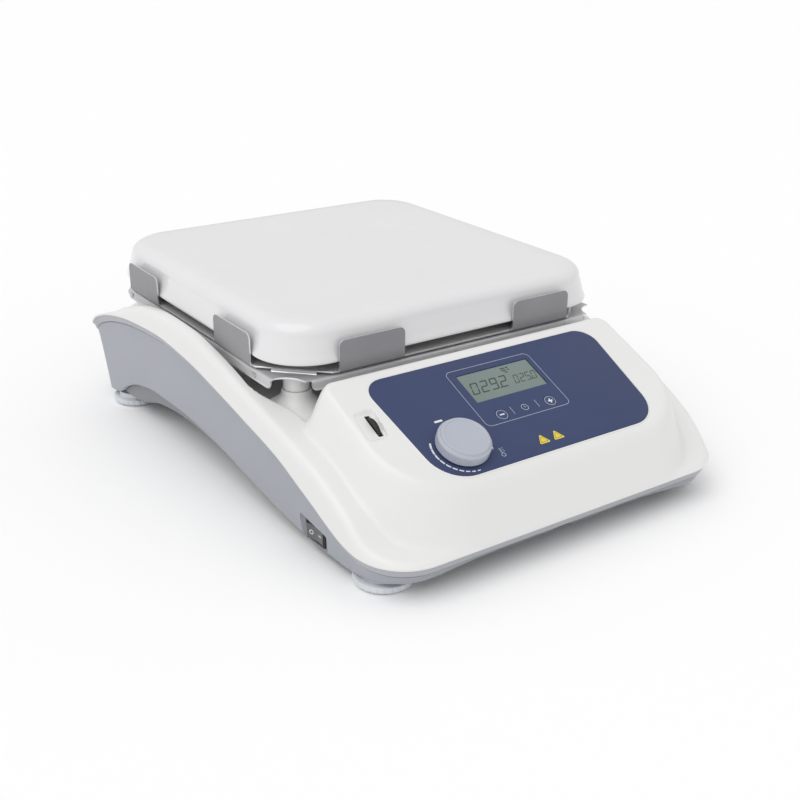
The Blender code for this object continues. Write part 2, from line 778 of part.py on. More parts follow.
def plate_stack():
    top_plate()
    clip_bracket()
    support_tray()
    floor = BRACKET_Z + SHEET + GAP
    side = 2 * CAVITY_HALF - 8
    pad = block("insulation_pad", (side, side, PAD_THICKNESS),
                (0, PLATE_Y, floor + PAD_THICKNESS / 2), WOOL, 28.0, 4, vertical_only=True)
    combine(pad, disc("sensor_well", 9.0, 30.0, (0, PLATE_Y, floor), WOOL, 20))
    element_z = floor + PAD_THICKNESS + GAP + ELEMENT_THICKNESS / 2
    block("heating_element", (side - 4, side - 4, ELEMENT_THICKNESS), (0, PLATE_Y, element_z),
          ALLOY, 26.0, 4, vertical_only=True)
    sensor_height = PAD_THICKNESS - 2 * GAP
    disc("temperature_sensor", 5.0, sensor_height, (0, PLATE_Y, floor + sensor_height / 2),
         BRIGHT, 16)
    head = TRAY_Z - GAP
    shoulder = PLATE_BOTTOM_Z - GAP
    tip = PLATE_BOTTOM_Z + 6.0
    screw = [(0, tip), (2.0, tip), (2.0, shoulder), (3.4, shoulder), (3.4, head), (5.5, head),
             (5.5, head - 2.6), (0, head - 2.6)]
    turned_at_corners("plate_screw", screw, BRIGHT, 12, PLATE_SCREW_X, PLATE_SCREW_Y, PLATE_Y)
    low = PEDESTAL_TOP_Z + GAP
    stud = PEDESTAL_TOP_Z - 26.0
    pillar = [(0, head), (SPACER_R, head), (SPACER_R, low), (2.0, low), (2.0, stud), (0, stud)]
    turned_at_corners("tray_pillar", pillar, BRIGHT, 20, PEDESTAL_PITCH, PEDESTAL_PITCH, PLATE_Y)


# ---------------------------------------------------------------- stirring drive

def blind_bored(outer, bore_floor, bore_radius):
    """A turned outline closed by a blind bore from the top."""
    return [(0, bore_floor), (bore_radius, bore_floor)] + outer


def stirring_drive():
    mount_top = DECK_Z - COVER_WALL - 2.0
    mount_sheet = 2.0
    mount = block("motor_bracket", (96.0, 72.0, mount_sheet),
                  (0, PLATE_Y, mount_top - mount_sheet / 2), STEEL, 6.0, 3, vertical_only=True)
    combine(mount, disc("bracket_bore", 11.0, 10.0, (0, PLATE_Y, mount_top), STEEL, 24))
    body_top = mount_top - mount_sheet - GAP
    boss = body_top + MOTOR_BOSS
    bore = SHAFT_R + GAP
    bore_floor = body_top - 8.0
    body = [(bore, boss), (10.0, boss), (10.0, body_top), (MOTOR_R - 1.0, body_top),
            (MOTOR_R, body_top - 1.0), (MOTOR_R, MOTOR_BOTTOM_Z + 1.0),
            (MOTOR_R - 1.0, MOTOR_BOTTOM_Z), (0, MOTOR_BOTTOM_Z)]
    turned("stir_motor", blind_bored(body, bore_floor, bore), BRIGHT, 32,
           location=(0, PLATE_Y, 0))
    spin = empty("stir_axis", (0, PLATE_Y, 0))
    shaft_low = bore_floor + 0.5
    shaft_high = CARRIER_Z - GAP
    disc("motor_shaft", SHAFT_R, shaft_high - shaft_low, (0, 0, (shaft_high + shaft_low) / 2),
         BRIGHT, 16, parent=spin)
    top = CARRIER_Z + CARRIER_SHEET
    edge = 0.6
    carrier = [(0, top), (CARRIER_R - edge, top), (CARRIER_R, top - edge),
               (CARRIER_R, CARRIER_Z + edge), (CARRIER_R - edge, CARRIER_Z), (0, CARRIER_Z)]
    turned("magnet_carrier", carrier, ALLOY, 36, parent=spin)
    magnet_z = top + GAP + MAGNET_SIZE[2] / 2
    for side, x in (("left", -MAGNET_X), ("right", MAGNET_X)):
        block("drive_magnet_" + side, MAGNET_SIZE, (x, 0, magnet_z), DARK_GREY, 1.0, 1,
              parent=spin)


# ---------------------------------------------------------------- console and controls

def panel_outline(grow=0.0):
    top = PANEL_TOP_HALF + grow
    bottom = PANEL_BOTTOM_HALF + grow
    corners = [(-bottom, -PANEL_LENGTH - grow), (bottom, -PANEL_LENGTH - grow),
               (top, grow), (-top, grow)]
    radii = [PANEL_BOTTOM_CORNER, PANEL_BOTTOM_CORNER, PANEL_TOP_CORNER, PANEL_TOP_CORNER]
    return rounded_outline(corners, radii, 6)


def console_parts(cover):
    frame = empty("panel_frame", (0, PANEL_TOP_Y, PANEL_TOP_Z), (PANEL_SLOPE, 0, 0))
    floor = -PANEL_POCKET

    def cut_cover(tool):
        combine(cover, tool)

    cut_cover(plate_from_outline("panel_pocket", panel_outline(GAP), 2 * PANEL_POCKET + 8, WHITE,
                                 parent=frame, location=(0, 0, floor + PANEL_POCKET + 4)))
    sheet_low = floor + GAP
    panel = plate_from_outline("control_panel", panel_outline(), PANEL_SHEET, BLUE, parent=frame,
                               location=(0, 0, sheet_low + PANEL_SHEET / 2))
    face = sheet_low + PANEL_SHEET
    width, height = LCD_SIZE
    combine(panel, block("lcd_hole", (width + 2 * GAP, height + 2 * GAP, 10), (0, LCD_V, 0), BLUE,
                         parent=frame))
    cut_cover(block("lcd_opening", (width + 4, height + 4, 16), (0, LCD_V, -4), WHITE,
                    parent=frame))
    block("lcd_window", (width, height, PANEL_SHEET), (0, LCD_V, sheet_low + PANEL_SHEET / 2),
          LCD_GREEN, parent=frame)
    block("lcd_module", (width + 3, height + 3, 5.0), (0, LCD_V, sheet_low - GAP - 2.5),
          DARK_GREY, parent=frame)
    key_stack(panel, cut_cover, frame, face)
    knob_stack(panel, cut_cover, frame, face)
    safety_dial(cut_cover, frame)
    board = block("display_board", (150.0, 62.0, BOARD_SHEET),
                  (0, -34.0, DISPLAY_BOARD_TOP - BOARD_SHEET / 2), BOARD, parent=frame)
    combine(board, disc("board_knob_hole", POT_R + 1.3, 8, (KNOB_X, KNOB_V, DISPLAY_BOARD_TOP),
                        BOARD, 24, parent=frame))


def key_stack(panel, cut_cover, frame, face):
    switch_top = KEY_SKIRT_BOTTOM - KEY_TRAVEL - GAP
    switch_low = DISPLAY_BOARD_TOP + GAP
    switch = (6.0, 6.0, switch_top - switch_low)
    top = face + 0.6
    for name, x in (("minus_key", -KEY_X), ("plus_key", KEY_X)):
        combine(panel, disc("key_hole", KEY_R + GAP, 10, (x, KEY_V, 0), BLUE, 24, parent=frame))
        cut_cover(disc("key_opening", KEY_R + 2.2, 16, (x, KEY_V, -4), WHITE, 24, parent=frame))
        shape = [(0, top), (KEY_R - 0.5, top), (KEY_R, top - 0.4), (KEY_R, KEY_SKIRT_TOP),
                 (KEY_R + 1.0, KEY_SKIRT_TOP), (KEY_R + 1.0, KEY_SKIRT_BOTTOM),
                 (0, KEY_SKIRT_BOTTOM)]
        turned(name, shape, BLUE, 24, parent=frame, location=(x, KEY_V, 0))
        block(name + "_switch", switch, (x, KEY_V, (switch_top + switch_low) / 2), BLACK,
              parent=frame)


def knob_stack(panel, cut_cover, frame, face):
    place_at = (KNOB_X, KNOB_V, 0)
    bore = KNOB_SHAFT_R + GAP
    combine(panel, disc("knob_hole", POT_BUSH_R + 1.2, 10, place_at, BLUE, 20, parent=frame))
    cut_cover(disc("knob_opening", POT_BUSH_R + 0.4, 16, (KNOB_X, KNOB_V, -4), WHITE, 20,
                   parent=frame))
    low = face + 0.5
    top = low + KNOB_HEIGHT
    bore_top = low + 6.5
    knob = [(0, top), (KNOB_R - 2.6, top), (KNOB_R - 1.8, top - 0.6), (KNOB_R - 1.6, top - 1.6),
            (KNOB_R - 0.4, top - 1.9), (KNOB_R, top - 2.6), (KNOB_R, low + 0.5),
            (KNOB_R - 0.5, low), (bore, low), (bore, bore_top), (0, bore_top)]
    turned("control_knob", knob, KNOB_GREY, 40, parent=frame, location=place_at)
    shaft_low = -8.0
    shaft_high = bore_top - GAP
    disc("knob_shaft", KNOB_SHAFT_R, shaft_high - shaft_low,
         (KNOB_X, KNOB_V, (shaft_high + shaft_low) / 2), BRIGHT, 16, parent=frame)
    bush_top = -0.9
    pot = [(bore, bush_top), (POT_BUSH_R, bush_top), (POT_BUSH_R, POT_TOP),
           (POT_R - 0.4, POT_TOP), (POT_R, POT_TOP - 0.5), (POT_R, POT_BOTTOM), (0, POT_BOTTOM)]
    turned("potentiometer", blind_bored(pot, shaft_low - 0.5, bore), DARK_GREY, 24,
           parent=frame, location=place_at)


def safety_dial(cut_cover, frame):
    width, length = DIAL_RECESS
    cut_cover(block("dial_recess", (width, length, 6.0), (DIAL_RECESS_X, DIAL_V, 1.5), WHITE, 3.0,
                    3, vertical_only=True, parent=frame))
    cut_cover(block("dial_slot", (3.6, 17.0, 12.0), (DIAL_X, DIAL_V, -4.0), WHITE, parent=frame))
    axle = empty("dial_axis", (DIAL_X, DIAL_V, -DIAL_DEPTH))
    axle.parent = frame
    bore = DIAL_AXLE_R + GAP
    half = 1.3
    edge = 0.4
    ring = [(bore, half), (DIAL_R - edge, half), (DIAL_R, half - edge), (DIAL_R, edge - half),
            (DIAL_R - edge, -half), (bore, -half)]
    turned("safety_dial", ring, BLACK, 32, parent=axle, rotation=(0, math.pi / 2, 0))
    body_near = half + GAP
    body_far = body_near + 4.0
    body_r = 3.6
    holder = [(0, body_far), (body_r, body_far), (body_r, body_near), (DIAL_AXLE_R, body_near),
              (DIAL_AXLE_R, -2.2), (0, -2.2)]
    turned("dial_holder", holder, DARK_GREY, 16, parent=axle, rotation=(0, math.pi / 2, 0))


# ---------------------------------------------------------------- side switch, rear inlet

def wall_x(y, z):
    """Outer face of the base's side wall, at its height between rim and skirt."""
    top = rim_z(y) - RIM_BAND - GAP
    share = (top - z) / (top - skirt_z(y))
    return SIDE_X + SIDE_TAPER * y - (RIM_UNDERCUT + 0.4 + 2.6 * share)


def power_switch(base, pan):
    width, height = ROCKER_SIZE
    face = -wall_x(ROCKER_Y, ROCKER_Z) + 0.6
    frame = empty("rocker_frame", (face, ROCKER_Y, ROCKER_Z))
    combine(base, block("rocker_opening", (16, width + 2 * GAP, height + 2 * GAP), (0, 0, 0), GREY,
                        parent=frame))
    combine(pan, block("rocker_notch", (40, width + 3, 24), (6, 0, 4.0), GREY, parent=frame))
    housing = block("rocker_housing", (ROCKER_DEPTH, width, height), (ROCKER_DEPTH / 2, 0, 0),
                    BLACK, 0.6, 1, parent=frame)
    well_depth, well_width, well_height = ROCKER_WELL
    combine(housing, block("rocker_well", (2 * well_depth, well_width, well_height), (0, 0, 0),
                           BLACK, parent=frame))
    pivot = empty("rocker_axis", (5.0, 0, 0), (0, 0, ROCKER_SWING))
    pivot.parent = frame
    near = [(-5.6, ROCKER_HALF - 0.2), (-1.0, ROCKER_HALF), (2.4, ROCKER_HALF - 1.6)]
    face_dip = (-4.2, 0.0)
    back_crown = (2.8, 0.0)
    far = [(x, -y) for x, y in reversed(near)]
    plate_from_outline("power_rocker", near + [back_crown] + far + [face_dip],
                       well_height - 0.9, DARK_GREY, parent=pivot)


def rear_wall_y(z):
    """Outer face of the base's rear wall, between rim and skirt."""
    top = rim_z(REAR_Y) - RIM_BAND - GAP
    share = (z - skirt_z(REAR_Y)) / (top - skirt_z(REAR_Y))
    low = REAR_Y - 6.5
    low -= REAR_LEAN * ease(150, REAR_Y, low)
    high = REAR_Y - RIM_UNDERCUT - 0.4
    return low + share * (high - low)


def mains_inlet(base):
    lean = math.atan(rear_wall_y(INLET_Z + 1) - rear_wall_y(INLET_Z))
    frame = empty("inlet_frame", (INLET_X, rear_wall_y(INLET_Z), INLET_Z),
                  (math.pi / 2 + lean, 0, math.pi))
    width, height = INLET_SIZE
    combine(base, block("inlet_opening", (width - 3, height - 3, 20), (0, 0, 0), GREY,
                        parent=frame))
    body_top = INLET_SEAT + 0.3
    housing = block("mains_inlet", (width - 3.6, height - 3.6, INLET_DEPTH),
                    (0, 0, body_top - INLET_DEPTH / 2), BLACK, 0.8, 1, parent=frame)
    flange = block("inlet_flange", (width, height, INLET_FLANGE),
                   (0, 0, INLET_SEAT + INLET_FLANGE / 2), BLACK, 1.5, 2, vertical_only=True,
                   parent=frame)
    combine(housing, flange, "UNION")
    combine(housing, block("inlet_socket", (*SOCKET_SIZE, 2 * SOCKET_DEPTH), (0, SOCKET_V, 0),
                           BLACK, parent=frame))
    pin_centre = PIN_LENGTH / 2 + GAP - SOCKET_DEPTH
    pins = {"live": (-5.0, SOCKET_V + 1.5, 2.0), "neutral": (5.0, SOCKET_V + 1.5, 2.0),
            "earth": (0.0, SOCKET_V - 2.0, 4.0)}
    for name, (x, v, blade) in pins.items():
        block("inlet_pin_" + name, (2.0, blade, PIN_LENGTH), (x, v, pin_centre), BRIGHT,
              parent=frame)
    drawer_width, drawer_height, drawer_depth = DRAWER_SIZE
    combine(housing, block("drawer_slot", (drawer_width + 0.8, drawer_height + 0.8, 30.0),
                           (0, DRAWER_V, 0), BLACK, parent=frame))
    front = INLET_SEAT + INLET_FLANGE + 0.6
    drawer = block("fuse_drawer", DRAWER_SIZE, (0, DRAWER_V, front - drawer_depth / 2), DARK_GREY,
                   parent=frame)
    combine(drawer, block("fuse_seat", (drawer_width - 3.2, 4.0, 6.0),
                          (0, DRAWER_V - 1.3, front - 12.5), DARK_GREY, parent=frame))


# ---------------------------------------------------------------- electronics

def electronics():
    centre_x, centre_y = POWER_BOARD_CENTRE
    block("power_board", (*POWER_BOARD_SIZE, BOARD_SHEET), (centre_x, centre_y, POWER_BOARD_Z),
          BOARD)
    top = POWER_BOARD_Z + BOARD_SHEET / 2 + GAP
    fitted = {"transformer": ((44.0, 36.0, 26.0), 0.0, -112.0, COPPER),
              "relay": ((20.0, 15.0, 15.0), 38.0, -95.0, BLUE),
              "heat_sink": ((30.0, 12.0, 24.0), 72.0, -118.0, ALLOY)}
    for name, (size, x, y, finish) in fitted.items():
        block(name, size, (x, y, top + size[2] / 2), finish, 0.8, 1)
    low = pan_z(FRONT_Y) + 2.0 + GAP
    high = POWER_BOARD_Z - BOARD_SHEET / 2 - GAP
    post = [(0, high), (3.0, high), (3.0, low), (0, low)]
    pitch_x, pitch_y = STANDOFF_PITCH
    turned_at_corners("board_standoff", post, BRIGHT, 10, pitch_x, pitch_y, centre_y, centre_x)


cover_object = top_cover()
base_object = base_shell()
pan_object = bottom_pan()
cut_pan(pan_object)
feet()
plate_stack()
stirring_drive()
console_parts(cover_object)
power_switch(base_object, pan_object)
mains_inlet(base_object)
electronics()
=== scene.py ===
"""Looks of the bench-top magnetic stirrer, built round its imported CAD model.

Shapes are worked out in millimetres in the CAD frame, and stored in metres.
"""

from math import atan, cos, hypot, pi, radians, sin, sqrt, tan

import bmesh
import bpy
from mathutils import Matrix, Vector


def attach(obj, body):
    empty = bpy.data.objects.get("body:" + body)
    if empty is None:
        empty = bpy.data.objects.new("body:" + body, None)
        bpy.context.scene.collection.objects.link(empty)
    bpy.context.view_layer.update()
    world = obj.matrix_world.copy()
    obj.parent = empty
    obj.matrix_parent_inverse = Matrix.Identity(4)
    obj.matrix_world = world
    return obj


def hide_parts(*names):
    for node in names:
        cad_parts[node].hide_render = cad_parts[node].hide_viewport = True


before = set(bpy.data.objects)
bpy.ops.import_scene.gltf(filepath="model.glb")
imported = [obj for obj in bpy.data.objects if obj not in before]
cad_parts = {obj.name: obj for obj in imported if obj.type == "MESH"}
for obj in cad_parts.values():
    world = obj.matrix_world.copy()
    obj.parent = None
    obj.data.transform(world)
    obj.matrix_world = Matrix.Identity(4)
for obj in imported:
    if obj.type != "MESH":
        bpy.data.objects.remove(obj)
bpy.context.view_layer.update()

MM = 0.001
GAP = 0.3
IDENTITY = Matrix.Identity(4)


def at(x, y, z):
    return Matrix.Translation((x, y, z))


def turned(angle, axis):
    return Matrix.Rotation(angle, 4, axis)


# Housing outline and its long curves, as in the CAD model.
DEPTH = 382
FRONT_Y, REAR_Y = -DEPTH / 2, DEPTH / 2
SIDE_X = 140.3
SIDE_TAPER = 0.035
FRONT_CORNER = 34.5
REAR_CORNER = 14
COVER_WALL = 3
BASE_WALL = 2.4
BASE_INSET = 3.9
BASE_DRAFT = 2.6
BASE_LAYERS = 26
RIM_BAND = 6
EDGE_ROUND = 5
REAR_LEAN = 11
RIDGE_LINE = [(-191, 24), (-172, 28), (-150, 43), (-124, 56), (-98, 64.5), (-45, 79),
              (-10, 89.5), (30, 96.5), (60, 97.5), (90, 95), (120, 87), (155, 72.5), (191, 59)]
RIM_LINE = [(-191, 21), (-155, 24), (-113, 39.7), (-81, 52.5), (-47, 61.3), (-11, 70),
            (28, 78), (70, 82), (110, 80), (145, 74.5), (170, 66.5), (191, 54)]
SKIRT_LINE = [(-191, 10.4), (-176, 9.2), (-158, 7.2), (-140, 6), (-120, 6.2),
              (-95, 8.2), (-51, 15), (8, 26.3), (60, 31.3), (90, 31.5),
              (118, 28), (140, 20), (156, 10.5), (166, 9), (191, 9)]
PAN_LINE = [(-191, 9), (-80, 9), (-40, 13), (10, 19), (60, 22), (95, 19),
            (120, 12), (136, 9), (191, 9)]
DECK_Z = 64
DECK_REAR_Z = 57
RIM_WALL_SLOPE = 4
RIM_TOP_WIDTH = 8
SHOULDER_WIDTH = 21
PLATE_Y = 52
PEDESTAL_TOP_Z = 79
PEDESTAL_TOP_R = 9
TOWER_R = 40
TOWER_TOP_Z = 88.9

# Console and panel; panel places are (x, v): across, and up the slope from the top edge.
PANEL_TOP_Y = -96.2
PANEL_TOP_Z = 90.9
PANEL_SLOPE = radians(23)
PANEL_LENGTH = 85
PANEL_TOP_HALF = 89.2
PANEL_BOTTOM_HALF = 81.8
PANEL_TOP_CORNER = 13
PANEL_BOTTOM_CORNER = 22
PANEL_FACE = 0.5
CONSOLE_HALF = 111
CONSOLE_FRONT_Y = -178.5
CONSOLE_REAR_Y = -88
CONSOLE_CORNER = 42
CONSOLE_STEEPNESS = 2.6
PANEL = at(0, PANEL_TOP_Y, PANEL_TOP_Z) @ turned(PANEL_SLOPE, "X")
LCD_V = -24.7
LCD_SIZE = (55.2, 23.8)
KEY_X = 18.8
KEY_V = -50
KEY_R = 4.2
KNOB_X = -58.5
KNOB_V = -64
KNOB_R = 16.2
KNOB_LOW = 1
KNOB_HEIGHT = 9
DIAL_X = -97
DIAL_V = -31
DIAL_R = 9
DIAL_DEPTH = 7.6
DIAL_RECESS = (13.5, 22)
DIAL_RECESS_X = -99.6

# Plate and sheet metal.
PLATE_HALF = 127
PLATE_BOTTOM_Z = 98.1
PLATE_TOP_Z = 123.3
PLATE_CORNER = 34
PLATE_DRAFT = 7.5
PLATE_TOP_ROUND = 9
SHEET = 1
TRAY_Z = 89.3
TRAY_SKIRT = 5.8
TRAY_SKIRT_HALF = 108
TRAY_SKIRT_REAR = 98
TRAY_SKIRT_RIGHT = 90
TRAY_CORNER_CUTS = (15.5, 27, 27, 15.5)
BRACKET_Z = 91.7
BRACKET_HALF = 128.9
BRACKET_CHAMFER = 36
TAB_NEAR = 42.8
TAB_FAR = 89.9
TAB_TOP_Z = 112
TAB_CORNER = 4

# Feet, rocker and inlet.
FOOT_R = 17.5
FOOT_HEIGHT = 8.7
FEET = {"front_left": (-113, -158), "front_right": (113, -158),
        "rear_left": (-124, 158), "rear_right": (124, 158)}
PEDESTALS = {"front_left": (-107, -55), "front_right": (107, -55),
             "rear_left": (-107, 159), "rear_right": (107, 159)}
ROCKER_Y = -112
ROCKER_Z = 12.6
ROCKER_SEAT = at(-130.12, ROCKER_Y, ROCKER_Z)
ROCKER_SIZE = (19, 12.4)
ROCKER_WELL = (16.6, 10.2)
ROCKER_HALF = 7.4
ROCKER_SWING = radians(8)
ROCKER_PIVOT_DEPTH = 5
INLET_X = 62
INLET_Z = 31
INLET_SIZE = (31, 33)
INLET_SEAT = 0.9
INLET_FLANGE = 2


# Materials.


def settings(node, values):
    for name, value in values.items():
        node.inputs[name].default_value = value


class Finish:
    """A Principled material with helpers for the nodes that give it its detail."""

    def __init__(self, name, slot, roughness, metallic=0, coat=0):
        self.material = bpy.data.materials.new(name)
        self.material.use_nodes = True
        self.nodes = self.material.node_tree.nodes
        self.links = self.material.node_tree.links
        self.shader = self.nodes["Principled BSDF"]
        settings(self.shader, {"Roughness": roughness, "Metallic": metallic, "Coat Weight": coat,
                               "Coat Roughness": 0.08, "Specular IOR Level": 0.5})
        self.place = self.nodes.new("ShaderNodeTexCoord").outputs["Object"]

    def add(self, kind, source, socket, values):
        made = self.nodes.new("ShaderNode" + kind)
        settings(made, values)
        self.links.new(source, made.inputs[socket])
        return made

    def noise(self, scale, detail=3, stretch=None, roughness=0.5):
        place = self.place
        if stretch:
            place = self.add("Mapping", place, "Vector", {"Scale": stretch}).outputs["Vector"]
        values = {"Scale": scale, "Detail": detail, "Roughness": roughness}
        return self.add("TexNoise", place, "Vector", values).outputs["Fac"]

    def tint(self, source, colour, *stops):
        """Vary a colour over a source; a stop is (place on the source, brightness)."""
        made = self.add("ValToRGB", source, "Fac", {})
        points = made.color_ramp.elements
        while len(points) < len(stops):
            points.new(0.5)
        for point, (spot, factor) in zip(points, stops):
            point.position = spot
            point.color = (*[min(c * factor, 1) for c in colour], 1)
        self.links.new(made.outputs["Color"], self.shader.inputs["Base Color"])

    def roughness(self, source, low, high, start=0.35, end=0.65):
        values = {"From Min": start, "From Max": end, "To Min": low, "To Max": high}
        made = self.add("MapRange", source, "Value", values)
        self.links.new(made.outputs["Result"], self.shader.inputs["Roughness"])

    def bump(self, *layers):
        """Bump layers as (height source, strength, distance in metres), stacked."""
        normal = None
        for source, strength, distance in layers:
            made = self.add("Bump", source, "Height", {"Strength": strength, "Distance": distance})
            if normal:
                self.links.new(normal, made.inputs["Normal"])
            normal = made.outputs["Normal"]
        self.links.new(normal, self.shader.inputs["Normal"])


def moulded(name, slot, colour, roughness, grain=2600, depth=2e-5, spread=0.03):
    """Injection-moulded plastic: faint blotches and a fine spark-eroded grain."""
    made = Finish(name, slot, roughness)
    made.tint(made.noise(22, 4), colour, (0.3, 1 - spread), (0.7, 1 + spread))
    made.roughness(made.noise(30, 1), roughness - 0.02, roughness + 0.03, 0.2, 0.8)
    made.bump((made.noise(grain, 2), 0.25, depth))
    return made.material


def sheet_metal(name, slot, colour, roughness, metallic, stretch=None):
    """Rolled sheet: long faint brush lines, cloudy tone and small rubbed spots."""
    made = Finish(name, slot, roughness, metallic)
    lines = made.noise(900, 3, stretch)
    made.tint(made.noise(35, 6), colour, (0.25, 0.93), (0.55, 1), (0.8, 1.07))
    made.roughness(lines, roughness - 0.07, roughness + 0.09)
    made.bump((lines, 0.12, 1e-5), (made.noise(14, 2), 0.05, 4e-4))
    return made.material


def glazed(name, slot, colour):
    made = Finish(name, slot, 0.16, coat=0.35)
    made.tint(made.noise(12, 4), colour, (0.3, 0.985), (0.7, 1.015))
    made.roughness(made.noise(45, 5), 0.13, 0.24)
    made.bump((made.noise(260, 2), 0.05, 3e-5), (made.noise(8, 1), 0.05, 5e-4))
    return made.material


def soft_rubber(name, slot, colour):
    made = Finish(name, slot, 0.55)
    made.tint(made.noise(90, 6), colour, (0.3, 0.93), (0.7, 1.05))
    made.roughness(made.noise(300, 4), 0.45, 0.68)
    made.bump((made.noise(1500, 3), 0.3, 3e-5))
    return made.material


def fibre_wool(name, slot, colour):
    made = Finish(name, slot, 0.95)
    strands = made.noise(700, 6, (1, 4, 1), 0.7)
    made.tint(strands, colour, (0.3, 0.75), (0.7, 1.1))
    made.bump((strands, 0.6, 6e-4))
    return made.material


def board_laminate(name, slot, colour):
    made = Finish(name, slot, 0.4)
    made.tint(made.noise(500, 4, (1, 6, 1)), colour, (0.35, 0.7), (0.65, 1.2))
    made.bump((made.noise(1200, 2), 0.2, 2e-5))
    return made.material


WHITE = moulded("white_moulding", "white_plastic", (0.8, 0.795, 0.79), 0.3, 1200, 3e-6, 0.008)
PEDESTAL_WHITE = moulded("white_spacer", "white_plastic", (0.8, 0.8, 0.79), 0.35, 1200, 4e-6, 0.01)
# Painted shade: a grey copy of the white cover plastic, laid on the undercut band under the cover's rim,
# which is the same white plastic.
RIM_PAINTED_SHADE = moulded("rim_painted_shade", "white_plastic", (0.42, 0.43, 0.46), 0.4, 1400, 4e-6, 0.01)
GREY = moulded("grey_moulding", "grey_plastic", (0.355, 0.37, 0.41), 0.42, 1400, 1e-5, 0.02)
PAN_GREY = moulded("pan_moulding", "dark_grey_plastic", (0.24, 0.25, 0.27), 0.5, 1800, 4e-5, 0.05)
DARK_GREY = moulded("dark_moulding", "dark_grey_plastic", (0.12, 0.12, 0.125), 0.38, 2600, 2e-5, 0.05)
BLACK = moulded("black_moulding", "black_plastic", (0.018, 0.018, 0.02), 0.4, 2400, 2e-5, 0.15)
KNOB_GREY = moulded("knob_moulding", "knob_grey", (0.44, 0.47, 0.535), 0.34, 3000, 1e-5, 0.015)
BLUE = moulded("blue_film", "blue_overlay", (0.029, 0.047, 0.128), 0.55, 1900, 2e-5, 0.03)
KEY_BLUE = moulded("key_film", "blue_overlay", (0.033, 0.052, 0.14), 0.5, 1900, 2e-5, 0.03)
PRINT_WHITE, PRINT_FAINT, PRINT_YELLOW, PRINT_BLACK = [
    moulded(name + "_ink", "blue_overlay", colour, 0.5, 3000, 1e-5, blotches)
    for name, colour, blotches in (("white", (0.8, 0.81, 0.84), 0.03), ("pale", (0.42, 0.46, 0.56), 0.04),
                                   ("yellow", (0.78, 0.6, 0.06), 0.05), ("black", (0.03, 0.03, 0.03), 0.1))]
RUBBER = soft_rubber("foot_rubber", "pale_rubber", (0.66, 0.69, 0.72))
GLAZE = glazed("plate_glaze", "ceramic_white", (0.77, 0.77, 0.78))
# Painted light: the bracket's deck and the tray get a lighter copy of the sheet than the bracket's tabs, to
# lift the shade under the plate; the tabs keep the darker tone.
STEEL = sheet_metal("sheet_painted_light", "satin_steel", (0.6, 0.6, 0.61), 0.45, 0.4, (1, 1, 6))
TAB_STEEL = sheet_metal("tab_sheet", "satin_steel", (0.3, 0.3, 0.315), 0.5, 0.3, (1, 1, 6))
EDGE_STEEL = sheet_metal("sheared_edge", "satin_steel", (0.75, 0.75, 0.76), 0.28, 1, (6, 6, 1))
BRIGHT = sheet_metal("turned_steel", "bright_steel", (0.62, 0.62, 0.64), 0.25, 1, (1, 1, 8))
ALLOY = sheet_metal("cast_alloy", "alloy", (0.66, 0.67, 0.69), 0.4, 1)
MAGNET = sheet_metal("magnet_coating", "magnet_black", (0.08, 0.08, 0.09), 0.35, 0.6)
COPPER = sheet_metal("wound_copper", "winding_copper", (0.55, 0.26, 0.12), 0.4, 1, (1, 1, 12))
BOARD = board_laminate("green_laminate", "circuit_board", (0.02, 0.16, 0.06))
WOOL = fibre_wool("mineral_wool", "insulation_wool", (0.62, 0.6, 0.52))
RELAY = moulded("relay_case", "relay_blue", (0.04, 0.1, 0.32), 0.3)


def lcd_glass(name, slot, colour):
    made = Finish(name, slot, 0.18, coat=0.3)
    made.tint(made.noise(30, 3), colour, (0.3, 0.95), (0.7, 1.05))
    made.roughness(made.noise(80, 3), 0.14, 0.22)
    made.bump((made.noise(1500, 1), 0.05, 1e-5))
    return made.material


LCD = lcd_glass("lcd_glass", "lcd_green", (0.175, 0.225, 0.21))
LCD_DARK = moulded("lcd_segment", "lcd_green", (0.045, 0.06, 0.055), 0.3, 3000, 1e-5, 0.05)


# Mesh helpers.

def link(name, data):
    item = bpy.data.objects.new(name, data)
    bpy.context.scene.collection.objects.link(item)
    return item


def solid(name, bm):
    """Turn millimetre geometry, made to face outwards, into an object in metres."""
    bmesh.ops.recalc_face_normals(bm, faces=bm.faces)
    if bm.calc_volume(signed=True) < 0:
        bmesh.ops.reverse_faces(bm, faces=bm.faces)
    bm.transform(Matrix.Scale(MM, 4))
    mesh = bpy.data.meshes.new(name)
    bm.to_mesh(mesh)
    bm.free()
    return link(name, mesh)


def smooth(mesh, sharp):
    mesh.shade_smooth()
    mesh.set_sharp_from_angle(angle=radians(sharp))


def piece(name, bm, finishes, body="housing", stands_for=(), sharp=35):
    """Make millimetre geometry a piece that rides on a CAD body."""
    item = solid(name, bm)
    smooth(item.data, sharp)
    for finish in finishes:
        item.data.materials.append(finish)
    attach(item, body)
    if stands_for:
        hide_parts(*stands_for)
    return item


def bridge(bm, first, second):
    """Faces between two closed rings of vertices, either of which may be a single vertex."""
    count = max(len(first), len(second))
    made = []
    for i in range(count):
        j = (i + 1) % count
        corners = [ring[k % len(ring)] for ring, k in ((first, i), (first, j), (second, j), (second, i))]
        made.append(bm.faces.new(tuple(dict.fromkeys(corners))))
    return made


def skin(bm, rings, joined=False):
    """Faces between successive rings of points, and from the last to the first if joined."""
    made = [[bm.verts.new(p) for p in ring] for ring in rings]
    for first, second in zip(made, made[1:] + (made[:1] if joined else [])):
        bridge(bm, first, second)
    return made


def solid_of_rings(bm, rings):
    """A closed body through rings of points, with flat ends."""
    made = skin(bm, rings)
    bm.faces.new(made[0])
    bm.faces.new(made[-1])


